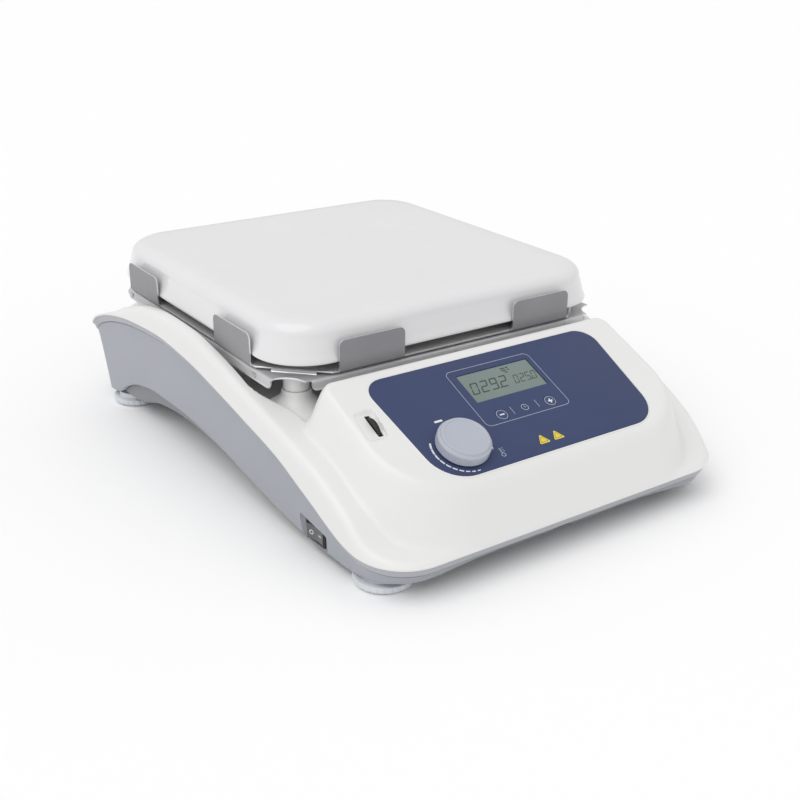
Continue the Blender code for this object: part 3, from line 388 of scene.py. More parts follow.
def lathe(bm, profile, sides, place=IDENTITY, radius_at=None, joined=False):
    """Turn a (radius, z) profile; radius_at(angle, r, z) may change a radius."""
    angles = [2 * pi * k / sides for k in range(sides)]
    rings = []
    for r, z in profile:
        spots = [(radius_at(a, r, z) if radius_at else r, a) for a in angles] if r > 0 else [(0, 0)]
        rings.append([place @ Vector((reach * cos(a), reach * sin(a), z)) for reach, a in spots])
    skin(bm, rings, joined)


def rounded(points, radii, steps=6, closed=True):
    """A path with its corners rounded; radii is one number or one for each point."""
    if not hasattr(radii, "__len__"):
        radii = [radii] * len(points)
    made = []
    count = len(points)
    for i, (point, radius) in enumerate(zip(points, radii)):
        here = Vector(point)
        inner = closed or 0 < i < count - 1
        if radius <= 0 or not inner:
            made.append(tuple(here))
            continue
        before = Vector(points[i - 1]) - here
        after = Vector(points[(i + 1) % count]) - here
        reach = min(before.length, after.length) * 0.499
        before.normalize()
        after.normalize()
        half = before.angle(after) / 2
        radius = min(radius, reach * tan(half))
        centre = here + (before + after).normalized() * (radius / sin(half))
        first = here + before * (radius / tan(half)) - centre
        last = here + after * (radius / tan(half)) - centre
        sweep = first.angle_signed(last)
        for k in range(steps + 1):
            made.append(tuple(centre + Matrix.Rotation(-sweep * k / steps, 2) @ first))
    return made


def prism(bm, outline, low, high, place=IDENTITY, edge=0, steps=2, edge_index=0):
    """A flat plate of an outline between two heights, its rims rounded by edge."""
    levels = [(low, 0), (high, 0)]
    if edge:
        turns = [k * pi / 2 / steps for k in range(steps + 1)]
        lower = [(low + edge * (1 - sin(a)), edge * (1 - cos(a))) for a in turns[::-1]]
        upper = [(high - edge * (1 - sin(a)), edge * (1 - cos(a))) for a in turns]
        levels = lower + upper
    normals = outline_normals(outline)
    rings = []
    for z, inset in levels:
        rings.append([place @ Vector((x - nx * inset, y - ny * inset, z))
                      for (x, y), (nx, ny) in zip(outline, normals)])
    made = skin(bm, rings)
    if edge_index:
        for vert in (v for ring in made for v in ring):
            for face in vert.link_faces:
                face.material_index = edge_index
    bm.faces.new(made[0])
    bm.faces.new(made[-1])


def outline_normals(outline):
    """Outward unit normals at the points of a closed outline, whichever way it runs."""
    count = len(outline)
    area = sum(outline[i][0] * outline[(i + 1) % count][1] - outline[(i + 1) % count][0] * outline[i][1]
               for i in range(count))
    side = 1 if area > 0 else -1
    normals = []
    for i in range(count):
        before = Vector(outline[i]) - Vector(outline[i - 1])
        after = Vector(outline[(i + 1) % count]) - Vector(outline[i])
        along = before.normalized() + after.normalized()
        if along.length < 1e-6:
            along = after
        along.normalize()
        scale = 1 / max(along.dot(after.normalized()), 0.5)
        normals.append((side * along.y * scale, -side * along.x * scale))
    return normals


def rectangle(half_x, half_y, centre=(0, 0), radius=0, steps=5):
    x, y = centre
    corners = [(x - half_x, y - half_y), (x + half_x, y - half_y),
               (x + half_x, y + half_y), (x - half_x, y + half_y)]
    return rounded(corners, radius, steps)


def circle(radius, centre=(0, 0), sides=48):
    return [(centre[0] + radius * cos(2 * pi * k / sides),
             centre[1] + radius * sin(2 * pi * k / sides)) for k in range(sides)]


def band(bm, outer, inner, low, high, place):
    """A flat ring between two outlines with the same number of points."""
    edges = ((outer, low), (outer, high), (inner, high), (inner, low))
    skin(bm, [[place @ Vector((x, y, z)) for x, y in line] for line, z in edges], True)


def cut_solid(target, cutters, sharp=35):
    """Cut millimetre geometry out of a piece, all in one Boolean."""
    tool = solid("cutters", cutters)
    step = target.modifiers.new("cut", "BOOLEAN")
    step.operation = "DIFFERENCE"
    step.solver = "EXACT"
    step.object = tool
    bpy.context.view_layer.update()
    shaped = bpy.data.meshes.new_from_object(target.evaluated_get(bpy.context.evaluated_depsgraph_get()))
    target.modifiers.remove(step)
    target.data = shaped
    smooth(shaped, sharp)
    bpy.data.objects.remove(tool)


def cut(target, place, shapes, sharp=35):
    """Cut prisms, each given as (outline, low, high), out of a piece."""
    tools = bmesh.new()
    for outline, low, high in shapes:
        prism(tools, outline, low, high, place)
    cut_solid(target, tools, sharp)


# Housing surfaces.

def smooth_line(points):
    """A smooth curve z(y) through control points, level past its ends."""
    ys = [p[0] for p in points]
    zs = [p[1] for p in points]
    rises = [(zs[i + 1] - zs[i]) / (ys[i + 1] - ys[i]) for i in range(len(ys) - 1)]
    slopes = [0]
    for before, after in zip(rises, rises[1:]):
        level = before * after <= 0
        slopes.append(0 if level else 2 * before * after / (before + after))
    slopes.append(0)

    def value(y):
        if y <= ys[0]:
            return zs[0]
        if y >= ys[-1]:
            return zs[-1]
        i = max(k for k in range(len(ys) - 1) if ys[k] <= y)
        span = ys[i + 1] - ys[i]
        t = (y - ys[i]) / span
        return ((2 * t ** 3 - 3 * t ** 2 + 1) * zs[i] + (t ** 3 - 2 * t ** 2 + t) * span * slopes[i]
                + (3 * t ** 2 - 2 * t ** 3) * zs[i + 1] + (t ** 3 - t ** 2) * span * slopes[i + 1])

    return value


ridge_z = smooth_line(RIDGE_LINE)
rim_z = smooth_line(RIM_LINE)
skirt_z = smooth_line(SKIRT_LINE)
pan_z = smooth_line(PAN_LINE)


def ease(low, high, value):
    t = min(max((value - low) / (high - low), 0), 1)
    return t * t * (3 - 2 * t)


def blend_max(a, b, radius):
    mix = max(radius - abs(a - b), 0) / radius
    return max(a, b) + mix * mix * radius / 4


def spread(start, end, step):
    """Evenly spaced values from start up to, but not including, end."""
    if start == end:
        return []
    count = max(round((end - start) / step), 1)
    return [start + (end - start) * k / count for k in range(count)]


def stations(fine):
    """Rows of the housing from front to rear; fine holds (from, to, step) stretches."""
    rows = [("front", radians(90 - a)) for a in range(0, 90, 5)]
    y = FRONT_Y + FRONT_CORNER
    for start, end, step in fine:
        rows += [("side", v) for v in spread(y, start, 2.6)]
        rows += [("side", v) for v in spread(start, end, step)]
        y = end
    rows += [("side", v) for v in spread(y, REAR_Y - REAR_CORNER, 2.6)]
    rows += [("rear", radians(a * 7.5)) for a in range(13)]
    return rows


def row_edge(row, inset):
    """Half-width and y of the housing outline at a row, moved inwards by inset."""
    zone, value = row
    if zone == "side":
        return SIDE_X + SIDE_TAPER * value - inset, value
    corner = FRONT_CORNER if zone == "front" else REAR_CORNER
    sign = -1 if zone == "front" else 1
    middle = sign * (DEPTH / 2 - corner)
    radius = corner - inset
    half = SIDE_X + SIDE_TAPER * middle - corner
    return half + radius * cos(value), middle + sign * radius * sin(value)


def edge_distance(x, y):
    """How far a point lies inside the housing outline."""
    best = min(SIDE_X + SIDE_TAPER * y - abs(x), y - FRONT_Y, REAR_Y - y)
    for sign, corner in ((-1, FRONT_CORNER), (1, REAR_CORNER)):
        middle = sign * (DEPTH / 2 - corner)
        across = abs(x) - (SIDE_X + SIDE_TAPER * middle - corner)
        along = sign * (y - middle)
        if across > 0 and along > 0:
            best = corner - hypot(across, along)
    return best


def deck_z(y):
    return DECK_Z + (DECK_REAR_Z - DECK_Z) * ease(150, 185, y)


def panel_plane_z(y):
    return PANEL_TOP_Z + tan(PANEL_SLOPE) * (y - PANEL_TOP_Y)


def box_distance(across, along, corner):
    """Distance outside a rounded box, from how far a point is past its square core."""
    return hypot(max(across, 0), max(along, 0)) + min(max(across, along), 0) - corner


def console_distance(x, y):
    """How far a point lies outside the rounded plan of the console."""
    middle_y = (CONSOLE_FRONT_Y + CONSOLE_REAR_Y) / 2
    half_y = (CONSOLE_REAR_Y - CONSOLE_FRONT_Y) / 2
    corner = CONSOLE_CORNER if y < middle_y else 8
    return box_distance(abs(x) - (CONSOLE_HALF - corner), abs(y - middle_y) - (half_y - corner), corner)


def dial_recess(x, y):
    """Depth of the scooped recess round the limit dial."""
    v = (y - PANEL_TOP_Y) / cos(PANEL_SLOPE)
    half_x, half_v = DIAL_RECESS[0] / 2, DIAL_RECESS[1] / 2
    corner = 3
    skew = (v - DIAL_V) * 0.09
    outside = box_distance(abs(x - DIAL_RECESS_X - skew) - (half_x - corner),
                           abs(v - DIAL_V) - (half_v - corner), corner)
    floor = 0.5 + 1.5 * ease(DIAL_RECESS_X - half_x, DIAL_X, x)
    return floor * ease(0.35, -0.35, outside) if outside < 0.35 else 0


def cover_height(x, y):
    """Height of the top cover's outer surface above the bench."""
    inside = edge_distance(x, y)
    width = SHOULDER_WIDTH + (RIM_TOP_WIDTH - SHOULDER_WIDTH) * ease(-80, -38, y)
    ridge = ridge_z(y)
    shoulder = ridge - RIM_WALL_SLOPE * max(SIDE_X + SIDE_TAPER * y - abs(x) - width, 0)
    if y < CONSOLE_REAR_Y:
        shoulder = ridge
    ground = blend_max(shoulder, deck_z(y), 4) if y > CONSOLE_REAR_Y else shoulder
    away = console_distance(x, y)
    drop = CONSOLE_STEEPNESS * (max(away, 0) if away > 3 else max(away + 3, 0) ** 2 / 12)
    console = min(panel_plane_z(y), panel_plane_z(CONSOLE_REAR_Y)) - drop
    surface = blend_max(console, ground, 8)
    if inside < EDGE_ROUND:
        surface -= EDGE_ROUND - sqrt(max(EDGE_ROUND ** 2 - (EDGE_ROUND - inside) ** 2, 0))
    return max(surface, rim_z(y) + 1) if inside < RIM_TOP_WIDTH else surface


def cover_columns(half):
    """Places across a row: close together at the side walls and at the dial's recess."""
    edge = [0, 0.15, 0.5, 1.1, 1.9, 2.9, 4, 5.2, 6.5] + spread(7.4, 20, 0.9)
    core = half - 20
    left, right = -0.93, -0.785
    shares = (spread(-1, left, 0.0105) + spread(left, right, 0.0045) + spread(right, -0.62, 0.0105)
              + spread(-0.62, 0.62, 0.024) + spread(0.62, 1, 0.0105) + [1])
    return [d - half for d in edge] + [core * s for s in shares] + [half - d for d in edge[::-1]]


def perimeter(rows):
    loop = list(rows[0]) + [row[-1] for row in rows[1:]]
    loop += list(rows[-1])[-2::-1]
    loop += [row[0] for row in rows[-2:0:-1]]
    return loop


def outline_ring(rows, columns, inset, height, lean=0):
    """Points round the inset outline; lean draws the rear end forwards."""
    grid = []
    for row in rows:
        half, y = row_edge(row, inset)
        y -= lean * ease(150, REAR_Y, y)
        grid.append([(x, y) for x in columns(half)])
    return [Vector((x, y, height(x, y))) for x, y in perimeter(grid)]


def top_cover():
    rows = stations([(-156.5, -141, 1.2), (-141, -111, 0.6), (-111, -36, 1.2)])
    bm = bmesh.new()

    def surface(x, y):
        return cover_height(x, y) - dial_recess(x, y)

    def underside(x, y):
        low = cover_height(x, y) - COVER_WALL
        return max(low, rim_z(y) - RIM_BAND + 1) if edge_distance(x, y) < RIM_TOP_WIDTH else low

    def sheet(inset, height):
        grid = []
        for row in rows:
            half, y = row_edge(row, inset)
            grid.append([bm.verts.new((x, y, height(x, y))) for x in cover_columns(half)])
        for first, second in zip(grid, grid[1:]):
            for i in range(len(first) - 1):
                bm.faces.new((first[i], first[i + 1], second[i + 1], second[i]))
        return perimeter(grid)

    loops = [sheet(0, surface)]
    rim = [(0, -0.7), (0, -0.3), (0.15, 0.1), (0.5, 0.4), (1.3, 1), (1.9, 2.6),
           (2.5, 4.4), (3.2, 5.6), (3.9, 6), (6.5, 6)]
    for inset, drop in rim:
        points = outline_ring(rows, cover_columns, inset, lambda x, y: rim_z(y) - drop)
        loops.append([bm.verts.new(p) for p in points])
    loops.append(sheet(COVER_WALL, underside))
    # Faces from the fourth rim ring down take the painted shade material: the undercut band is greyed to
    # stand for the shade under the rim.
    for k, (first, second) in enumerate(zip(loops, loops[1:])):
        for face in bridge(bm, first, second):
            face.material_index = int(k >= 4)
    cover = piece("housing_cover", bm, [WHITE, RIM_PAINTED_SHADE], stands_for=("top_cover",), sharp=62)
    holes = [circle(KEY_R + 2.2, (-KEY_X, KEY_V)), circle(KEY_R + 2.2, (KEY_X, KEY_V)),
             circle(4.6, (KNOB_X, KNOB_V)), rectangle(LCD_SIZE[0] / 2 + 2, LCD_SIZE[1] / 2 + 2, (0, LCD_V))]
    slit = rectangle(1.8, 8.5, (DIAL_X, DIAL_V), 0.8)
    cut(cover, PANEL, [(slit, -10, 2.5)] + [(hole, -8, 3) for hole in holes], 62)


def pedestals():
    """White cones that rise out of the deck, and the round tower over the magnets."""
    for corner, (x, y) in PEDESTALS.items():
        deck = deck_z(y)
        bell = [(PEDESTAL_TOP_R, PEDESTAL_TOP_Z), (PEDESTAL_TOP_R + 0.6, PEDESTAL_TOP_Z - 3.6),
                (12.6, PEDESTAL_TOP_Z - 7), (17.5, PEDESTAL_TOP_Z - 10), (22.5, deck + 0.6),
                (26, deck - 2.5), (28, deck - 7)]
        bm = bmesh.new()
        profile = rounded([(0, PEDESTAL_TOP_Z)] + bell + [(0, deck - 8)],
                          [0, 0.5, 3, 6, 10, 8, 6, 0, 0], 6, False)
        lathe(bm, profile, 72, at(x, y, 0))
        piece("cover_pedestal_" + corner, bm, [WHITE], sharp=50)
    bm = bmesh.new()
    tower = rounded([(0, TOWER_TOP_Z), (TOWER_R, TOWER_TOP_Z), (TOWER_R, 65), (TOWER_R + 7, 63.5)],
                    [0, 1, 4, 0], 6, False)
    lathe(bm, tower + [(0, 62)], 96, at(0, PLATE_Y, 0))
    piece("magnet_tower", bm, [WHITE])


# Base and pan.

def base_columns(half):
    count = 40
    return [half * (2 * k / count - 1) for k in range(count + 1)]


def base_top(x, y):
    return rim_z(y) - RIM_BAND - GAP


def base_bottom(x, y):
    arch = 4 * (1 - min(abs(x) / 95, 1) ** 2) if y < -150 else 0
    return skirt_z(y) + arch


def base_shell():
    rows = stations([(-130, -94, 0.8)])
    bm = bmesh.new()
    rings = []

    def layer(share):
        return lambda x, y: base_top(x, y) + (base_bottom(x, y) - base_top(x, y)) * share

    for k in range(BASE_LAYERS + 1):
        share = k / BASE_LAYERS
        inset = BASE_INSET + BASE_DRAFT * share
        rings.append(outline_ring(rows, base_columns, inset, layer(share), REAR_LEAN * share))
    low = layer(1)
    for inset, drop in ((6.7, 0.35), (7.1, 0.55), (BASE_INSET + BASE_DRAFT + BASE_WALL, 0.55)):
        rings.append([Vector((p.x, p.y, p.z - drop)) for p in
                      outline_ring(rows, base_columns, inset, low, REAR_LEAN)])
    rings.append(outline_ring(rows, base_columns, BASE_INSET + BASE_WALL + 1, layer(0), 0))
    skin(bm, rings, True)
    base = piece("base_housing", bm, [GREY], stands_for=("base_shell",))
    tools = bmesh.new()
    width, height = ROCKER_SIZE
    stand = rocker_stand()
    prism(tools, rectangle(width / 2 - 0.3, height / 2 - 0.3, radius=0.8), -12, 2, stand)
    width, height = INLET_SIZE
    prism(tools, rectangle(width / 2 - 1.5, height / 2 - 1.5), -10, 10, inlet_frame())
    cut_solid(base, tools)
    tools = bmesh.new()
    pocket = [(-12.4, -5.6), (12.4, -5.9), (12.6, 4.6), (-11.4, 7.4)]
    wide = [(-13.4, -6.4), (14.6, -6.6), (14, 4.9), (-14.2, 8.6)]
    solid_of_rings(tools, [[stand @ Vector((u, v, h)) for u, v in rounded(line, 1.2, 4)]
                           for line, h in ((pocket, -2.3), (wide, 0.6), (wide, 6))])
    cut_solid(base, tools)


def rocker_stand():
    """The rocker's seat: first axis along the wall, third axis out of it."""
    return ROCKER_SEAT @ turned(-pi / 2, "Z") @ turned(pi / 2, "X")


def rear_wall_y(z):
    top = rim_z(REAR_Y) - RIM_BAND - GAP
    share = (z - skirt_z(REAR_Y)) / (top - skirt_z(REAR_Y))
    low = REAR_Y - BASE_INSET - BASE_DRAFT
    low -= REAR_LEAN * ease(150, REAR_Y, low)
    return low + share * (REAR_Y - BASE_INSET - low)


def inlet_frame():
    lean = atan(rear_wall_y(INLET_Z + 1) - rear_wall_y(INLET_Z))
    place = at(INLET_X, rear_wall_y(INLET_Z), INLET_Z)
    return place @ turned(pi, "Z") @ turned(pi / 2 + lean, "X")


def pan_section(half, floor, rise):
    """A U-shaped section with rounded folds and three long stiffening beads."""
    wall = 2
    outer = [(-half, rise), (-half, floor)]
    for x in (-70, 0, 70):
        outer += [(x - 7, floor), (x - 4.5, floor + 1.2), (x + 4.5, floor + 1.2), (x + 7, floor)]
    outer += [(half, floor), (half, rise)]
    radii = [0, 3.5] + [1.5] * 12 + [3.5, 0]
    path = rounded(outer, radii, 4, False)
    normals = outline_normals(path + [(0, rise + 400)])[:len(path)]
    inner = [(x - nx * wall, z - nz * wall) for (x, z), (nx, nz) in zip(path, normals)]
    inner[0] = (wall - half, rise)
    inner[-1] = (half - wall, rise)
    return path + inner[::-1]


def bottom_pan():
    rows = stations([])
    rings = []
    for row in rows:
        half, y = row_edge(row, 10.2)
        y -= 11.5 * ease(130, REAR_Y - REAR_CORNER, y)
        floor = pan_z(y)
        rise = max(skirt_z(y), floor) + 8
        rings.append([Vector((x, y, z)) for x, z in pan_section(half, floor, rise)])
    bm = bmesh.new()
    made = skin(bm, rings)
    count = len(made[0])
    for end in (made[0], made[-1]):
        for i in range(count // 2 - 1):
            bm.faces.new((end[i], end[i + 1], end[count - 2 - i], end[count - 1 - i]))
    pan = piece("base_pan", bm, [PAN_GREY], stands_for=("bottom_pan",))
    cut(pan, IDENTITY, [(rectangle(14, 1.5, (x, 20 + 7 * k), 1.5, 4), 5, 40)
                        for x in (-35, 35) for k in range(9)])


def fluted(angle, r, z):
    """Shallow upright notches round the wide part of a foot."""
    if r < FOOT_R - 1:
        return r
    return r - 0.4 * max(cos(24 * angle), 0) ** 6


def feet():
    groove = [(0, 3), (3.6, 3), (4.4, 3.4), (4.4, 4.6), (6.2, 4.6), (7, 3.9), (7, 0.6)]
    for corner, (x, y) in FEET.items():
        outer = rounded([(7, 0), (14.6, 0), (16.9, 1.2), (FOOT_R, 2), (FOOT_R, 5),
                         (FOOT_R - 1.6, 5.3), (13.4, 5.3), (13.4, FOOT_HEIGHT), (0, FOOT_HEIGHT)],
                        [0.3, 0.6, 0.8, 0.8, 0.5, 0.3, 0.2, 0.2, 0], 4, False)
        bm = bmesh.new()
        lathe(bm, groove + outer, 144, at(x, y, 0), fluted)
        piece("rubber_foot_" + corner, bm, [RUBBER], stands_for=("foot_" + corner,))


# Plate.

def square_ring(half, corner, z, steps=14):
    """A rounded square round the plate's centre."""
    points = []
    corner = max(corner, 0.01)
    for k in range(4):
        turn = Matrix.Rotation(k * pi / 2, 2)
        for s in range(steps + 1):
            angle = -pi / 2 + s * pi / 2 / steps
            centre = Vector((half - corner, corner - half))
            spot = turn @ (centre + corner * Vector((cos(angle), sin(angle))))
            points.append(Vector((spot.x, spot.y + PLATE_Y, z)))
    return points


def top_plate():
    """The drafted plate: a soft upper edge, a crisp lower lip and a faintly crowned top."""
    low, high = PLATE_BOTTOM_Z, PLATE_TOP_Z
    draft = PLATE_DRAFT / (high - low)
    levels = [(2, low + 0.6), (0.9, low), (0.25, low + 0.25), (0, low + 0.9), (0.05, low + 2)]
    side_top = high - PLATE_TOP_ROUND * 1.05
    for k in range(1, 7):
        z = low + 2 + (side_top - low - 2) * k / 6
        levels.append((draft * (z - low) * 0.86, z))
    start_inset, start_z = levels[-1]
    slope = atan(draft * 0.86)
    round_x, round_z = PLATE_TOP_ROUND * 1.25, high - 0.35 - start_z
    for k in range(1, 15):
        angle = slope + (pi / 2 - slope) * k / 14
        levels.append((start_inset + round_x * (1 - cos(angle - slope)),
                       start_z + round_z * sin(angle - slope) / sin(pi / 2 - slope)))
    last = levels[-1][0]
    for share in (0.12, 0.3, 0.6, 0.85):
        inset = last + (PLATE_HALF - last) * share
        levels.append((inset, high - 0.35 * (1 - share) ** 3))
    rings = []
    for inset, z in levels:
        corner = max(PLATE_CORNER - inset * 0.72, 4)
        rings.append(square_ring(PLATE_HALF - inset, min(corner, PLATE_HALF - inset - 0.5), z))
    underside = [square_ring(PLATE_HALF - 22, 20, low + 0.6),
                 square_ring(PLATE_HALF - 22.6, 20, low + 9)]
    bm = bmesh.new()
    solid_of_rings(bm, underside[::-1] + rings)
    piece("heating_plate", bm, [GLAZE], stands_for=("top_plate",), sharp=40)


# Sheet metal.

def folded(bm, path_at, across, place, face_index=0):
    """A folded strip: path_at(s) gives its (out, up) middle line at each place across."""
    layers = []
    for sign in (-1, 1):
        grid = []
        for s in across:
            path = [Vector(p) for p in path_at(s)]
            line = []
            for i, spot in enumerate(path):
                ahead = path[min(i + 1, len(path) - 1)] - path[max(i - 1, 0)]
                ahead.normalize()
                shift = Vector((-ahead.y, ahead.x)) * (SHEET / 2 * sign)
                out, up = spot + shift
                line.append(bm.verts.new(place @ Vector((s, -out, up))))
            grid.append(line)
        for first, second in zip(grid, grid[1:]):
            for i in range(len(first) - 1):
                face = bm.faces.new((first[i], first[i + 1], second[i + 1], second[i]))
                hem = face_index == 0 and i == len(first) - 2
                face.material_index = 1 if hem else face_index
        layers.append(grid)
    lower, upper = layers
    rims = [(lower[0], upper[0]), (lower[-1], upper[-1]),
            ([g[-1] for g in lower], [g[-1] for g in upper]),
            ([g[0] for g in lower], [g[0] for g in upper])]
    for first, second in rims:
        for i in range(len(first) - 1):
            face = bm.faces.new((first[i], first[i + 1], second[i + 1], second[i]))
            face.material_index = 1


def bend_path(start, corner, tip, radius, sign, steps=5):
    """From an (out, up) start, level to a rounded bend at corner, then up or down to tip."""
    path = [start, (corner[0] - radius, corner[1])]
    for k in range(1, steps + 1):
        angle = k / steps * pi / 2
        path.append((corner[0] - radius + radius * sin(angle),
                     corner[1] + sign * radius * (1 - cos(angle))))
    path.append((corner[0], corner[1] + 0.5 * (tip - corner[1])))
    if sign < 0:
        path.append((corner[0], tip + 0.9))
        path.append((corner[0] + 0.55, tip))
    else:
        path.append((corner[0], tip))
    return path


def corner_steps(half, radius, steps=5):
    """Places across a strip of a half-width, close together at its rounded ends."""
    turn = [radius * (1 - cos(k / steps * pi / 2)) for k in range(steps + 1)]
    return [t - half for t in turn] + [half - t for t in turn[::-1]]


def rounded_tip(s, half, radius):
    """How much shorter a strip is at a place across, from its rounded corners."""
    into = max(abs(s) - (half - radius), 0)
    return radius - sqrt(max(radius ** 2 - into ** 2, 0))


def side_places():
    centre = at(0, PLATE_Y, 0)
    return [centre @ turned(k * pi / 2, "Z") for k in range(4)]


def clip_bracket():
    """Upper sheet: chamfered square, eight plate tabs and a turned-down lip at each corner."""
    bm = bmesh.new()
    half, cut_back = BRACKET_HALF - 1.6, BRACKET_CHAMFER
    corners = []
    for k in range(4):
        turn = Matrix.Rotation(k * pi / 2, 2)
        corners.append(tuple(turn @ Vector((half - cut_back + 1.6, -half))))
        corners.append(tuple(turn @ Vector((half, cut_back - 1.6 - half))))
    outline = rounded(corners, 1, 3)
    prism(bm, outline, BRACKET_Z, BRACKET_Z + SHEET, at(0, PLATE_Y, 0), 0.12, 1, 1)
    middle = BRACKET_Z + SHEET / 2
    tab_half = (TAB_FAR - TAB_NEAR) / 2
    out = BRACKET_HALF - SHEET / 2

    def tab_path(s):
        tip = TAB_TOP_Z - rounded_tip(s, tab_half, TAB_CORNER)
        return bend_path((out - 2.2, middle), (out, middle), tip, 1.1, 1)

    def lip_path(s):
        tip = middle - 2.4
        return bend_path((-2.2, middle), (0, middle), tip, 0.8, -1, 4)

    for place in side_places():
        for sign in (-1, 1):
            shift = at(sign * (TAB_NEAR + TAB_FAR) / 2, 0, 0)
            # The tabs take the darker copy of the same sheet; the deck's lighter copy is painted light
            # against the shade under the plate.
            folded(bm, tab_path, corner_steps(tab_half, TAB_CORNER), place @ shift, 2)
        diagonal = hypot(half, half) - cut_back / sqrt(2) + 1.4
        turn = place @ turned(pi / 4, "Z") @ at(0, -diagonal, 0)
        folded(bm, lip_path, corner_steps(14, 1, 3), turn)
    piece("plate_bracket", bm, [STEEL, EDGE_STEEL, TAB_STEEL], stands_for=("clip_bracket",))


def support_tray():
    """Lower sheet: concave corners over the pedestals, hanging skirts, small lanced hooks."""
    bm = bmesh.new()
    half = PLATE_HALF - 1.3
    outline = []
    for k, hollow in enumerate(TRAY_CORNER_CUTS):
        turn = Matrix.Rotation(k * pi / 2, 2)
        corner = Vector((half + 1.3, -half - 1.3))
        for step in range(13):
            angle = pi - step / 12 * pi / 2
            rim = corner + hollow * Vector((cos(angle), sin(angle)))
            rim.x = min(rim.x, half)
            rim.y = max(rim.y, -half)
            outline.append(tuple(turn @ rim))
    prism(bm, outline, TRAY_Z, TRAY_Z + SHEET, at(0, PLATE_Y, 0), 0.12, 1, 1)
    middle = TRAY_Z + SHEET / 2
    out = PLATE_HALF + 0.3 - SHEET / 2
    ends = [(TRAY_SKIRT_HALF, TRAY_SKIRT_HALF), (TRAY_SKIRT_RIGHT, TRAY_SKIRT_REAR),
            (TRAY_SKIRT_REAR, TRAY_SKIRT_REAR), (TRAY_SKIRT_REAR, TRAY_SKIRT_HALF + 4)]

    for place, (left, right) in zip(side_places(), ends):
        half_length = (left + right) / 2

        def skirt_path(s):
            tip = TRAY_Z - TRAY_SKIRT + rounded_tip(s, half_length, 4.5)
            return bend_path((out - 2.2, middle), (out, middle), tip, 1.3, -1)

        shift = at((right - left) / 2, 0, 0)
        folded(bm, skirt_path, corner_steps(half_length, 4.5, 7), place @ shift)
        for x in (-92, 0, 92):
            lanced_hook(bm, place @ at(x, -out - SHEET / 2, TRAY_Z - 3.4))
    piece("plate_tray", bm, [STEEL, EDGE_STEEL], stands_for=("support_tray",))


def lanced_hook(bm, place):
    """A small triangular tongue pressed out of a skirt."""
    tongue = rounded([(-2.6, 2.2), (2.6, 2.2), (0.6, -2.4), (-0.6, -2.4)], [0.2, 0.2, 0.6, 0.6], 3)
    stand = place @ turned(pi / 2 + radians(14), "X")
    prism(bm, tongue, -0.25, 0.45, stand, 0.12, 1, 1)


def spacers():
    """White sleeves between the pedestals and the tray, over the steel studs."""
    for corner, (x, y) in PEDESTALS.items():
        low, high = PEDESTAL_TOP_Z + GAP, TRAY_Z - GAP
        profile = rounded([(0, high), (8, high), (8, low), (0, low)], [0, 0.6, 0.3, 0], 3, False)
        bm = bmesh.new()
        lathe(bm, profile, 48, at(x, y, 0))
        piece("tray_spacer_" + corner, bm, [PEDESTAL_WHITE], stands_for=("tray_pillar_" + corner,))


# Control panel.

def panel_outline(grow=0, steps=10):
    top = PANEL_TOP_HALF + grow
    bottom = PANEL_BOTTOM_HALF + grow
    corners = [(-bottom, -PANEL_LENGTH - grow), (bottom, -PANEL_LENGTH - grow), (top, grow), (-top, grow)]
    radii = [PANEL_BOTTOM_CORNER + grow, PANEL_BOTTOM_CORNER + grow,
             PANEL_TOP_CORNER + grow, PANEL_TOP_CORNER + grow]
    return rounded(corners, radii, steps)


def control_panel():
    bm = bmesh.new()
    prism(bm, panel_outline(-0.1), -0.6, PANEL_FACE, PANEL, 0.15, 2)
    panel = piece("panel_overlay", bm, [BLUE], stands_for=("control_panel",))
    width, height = LCD_SIZE
    holes = [circle(KEY_R + 0.15, (-KEY_X, KEY_V)), circle(KEY_R + 0.15, (KEY_X, KEY_V)),
             circle(5.4, (KNOB_X, KNOB_V)), rectangle(width / 2, height / 2, (0, LCD_V), 0.6)]
    cut(panel, PANEL, [(hole, -4, 4) for hole in holes])
    bm = bmesh.new()
    lip = 1.1
    levels = [(0, 0), (0, PANEL_FACE - 0.1), (0.12, PANEL_FACE + 0.12),
              (0.5, PANEL_FACE + 0.15), (0.85, PANEL_FACE - 0.1), (lip, -0.1)]
    rings = [[PANEL @ Vector((x, v, h)) for x, v in panel_outline(grow)] for grow, h in levels]
    skin(bm, rings, True)
    piece("panel_lip", bm, [WHITE])


INK_LOW = PANEL_FACE - 0.03
INK_HIGH = PANEL_FACE + 0.04


def ink(bm, outline, low=INK_LOW, high=INK_HIGH):
    prism(bm, outline, low, high, PANEL)


def ink_ring(bm, radius, width, centre):
    band(bm, circle(radius + width / 2, centre), circle(radius - width / 2, centre),
         INK_LOW, INK_HIGH, PANEL)


def arc_outline(radius, start, end, width, centre, steps=8):
    """A curved dash from one angle to another, in degrees."""
    turns = [radians(start + (end - start) * k / steps) for k in range(steps + 1)]
    x, y = centre
    return [(x + reach * cos(a), y + reach * sin(a))
            for reach, line in ((radius + width / 2, turns), (radius - width / 2, turns[::-1]))
            for a in line]


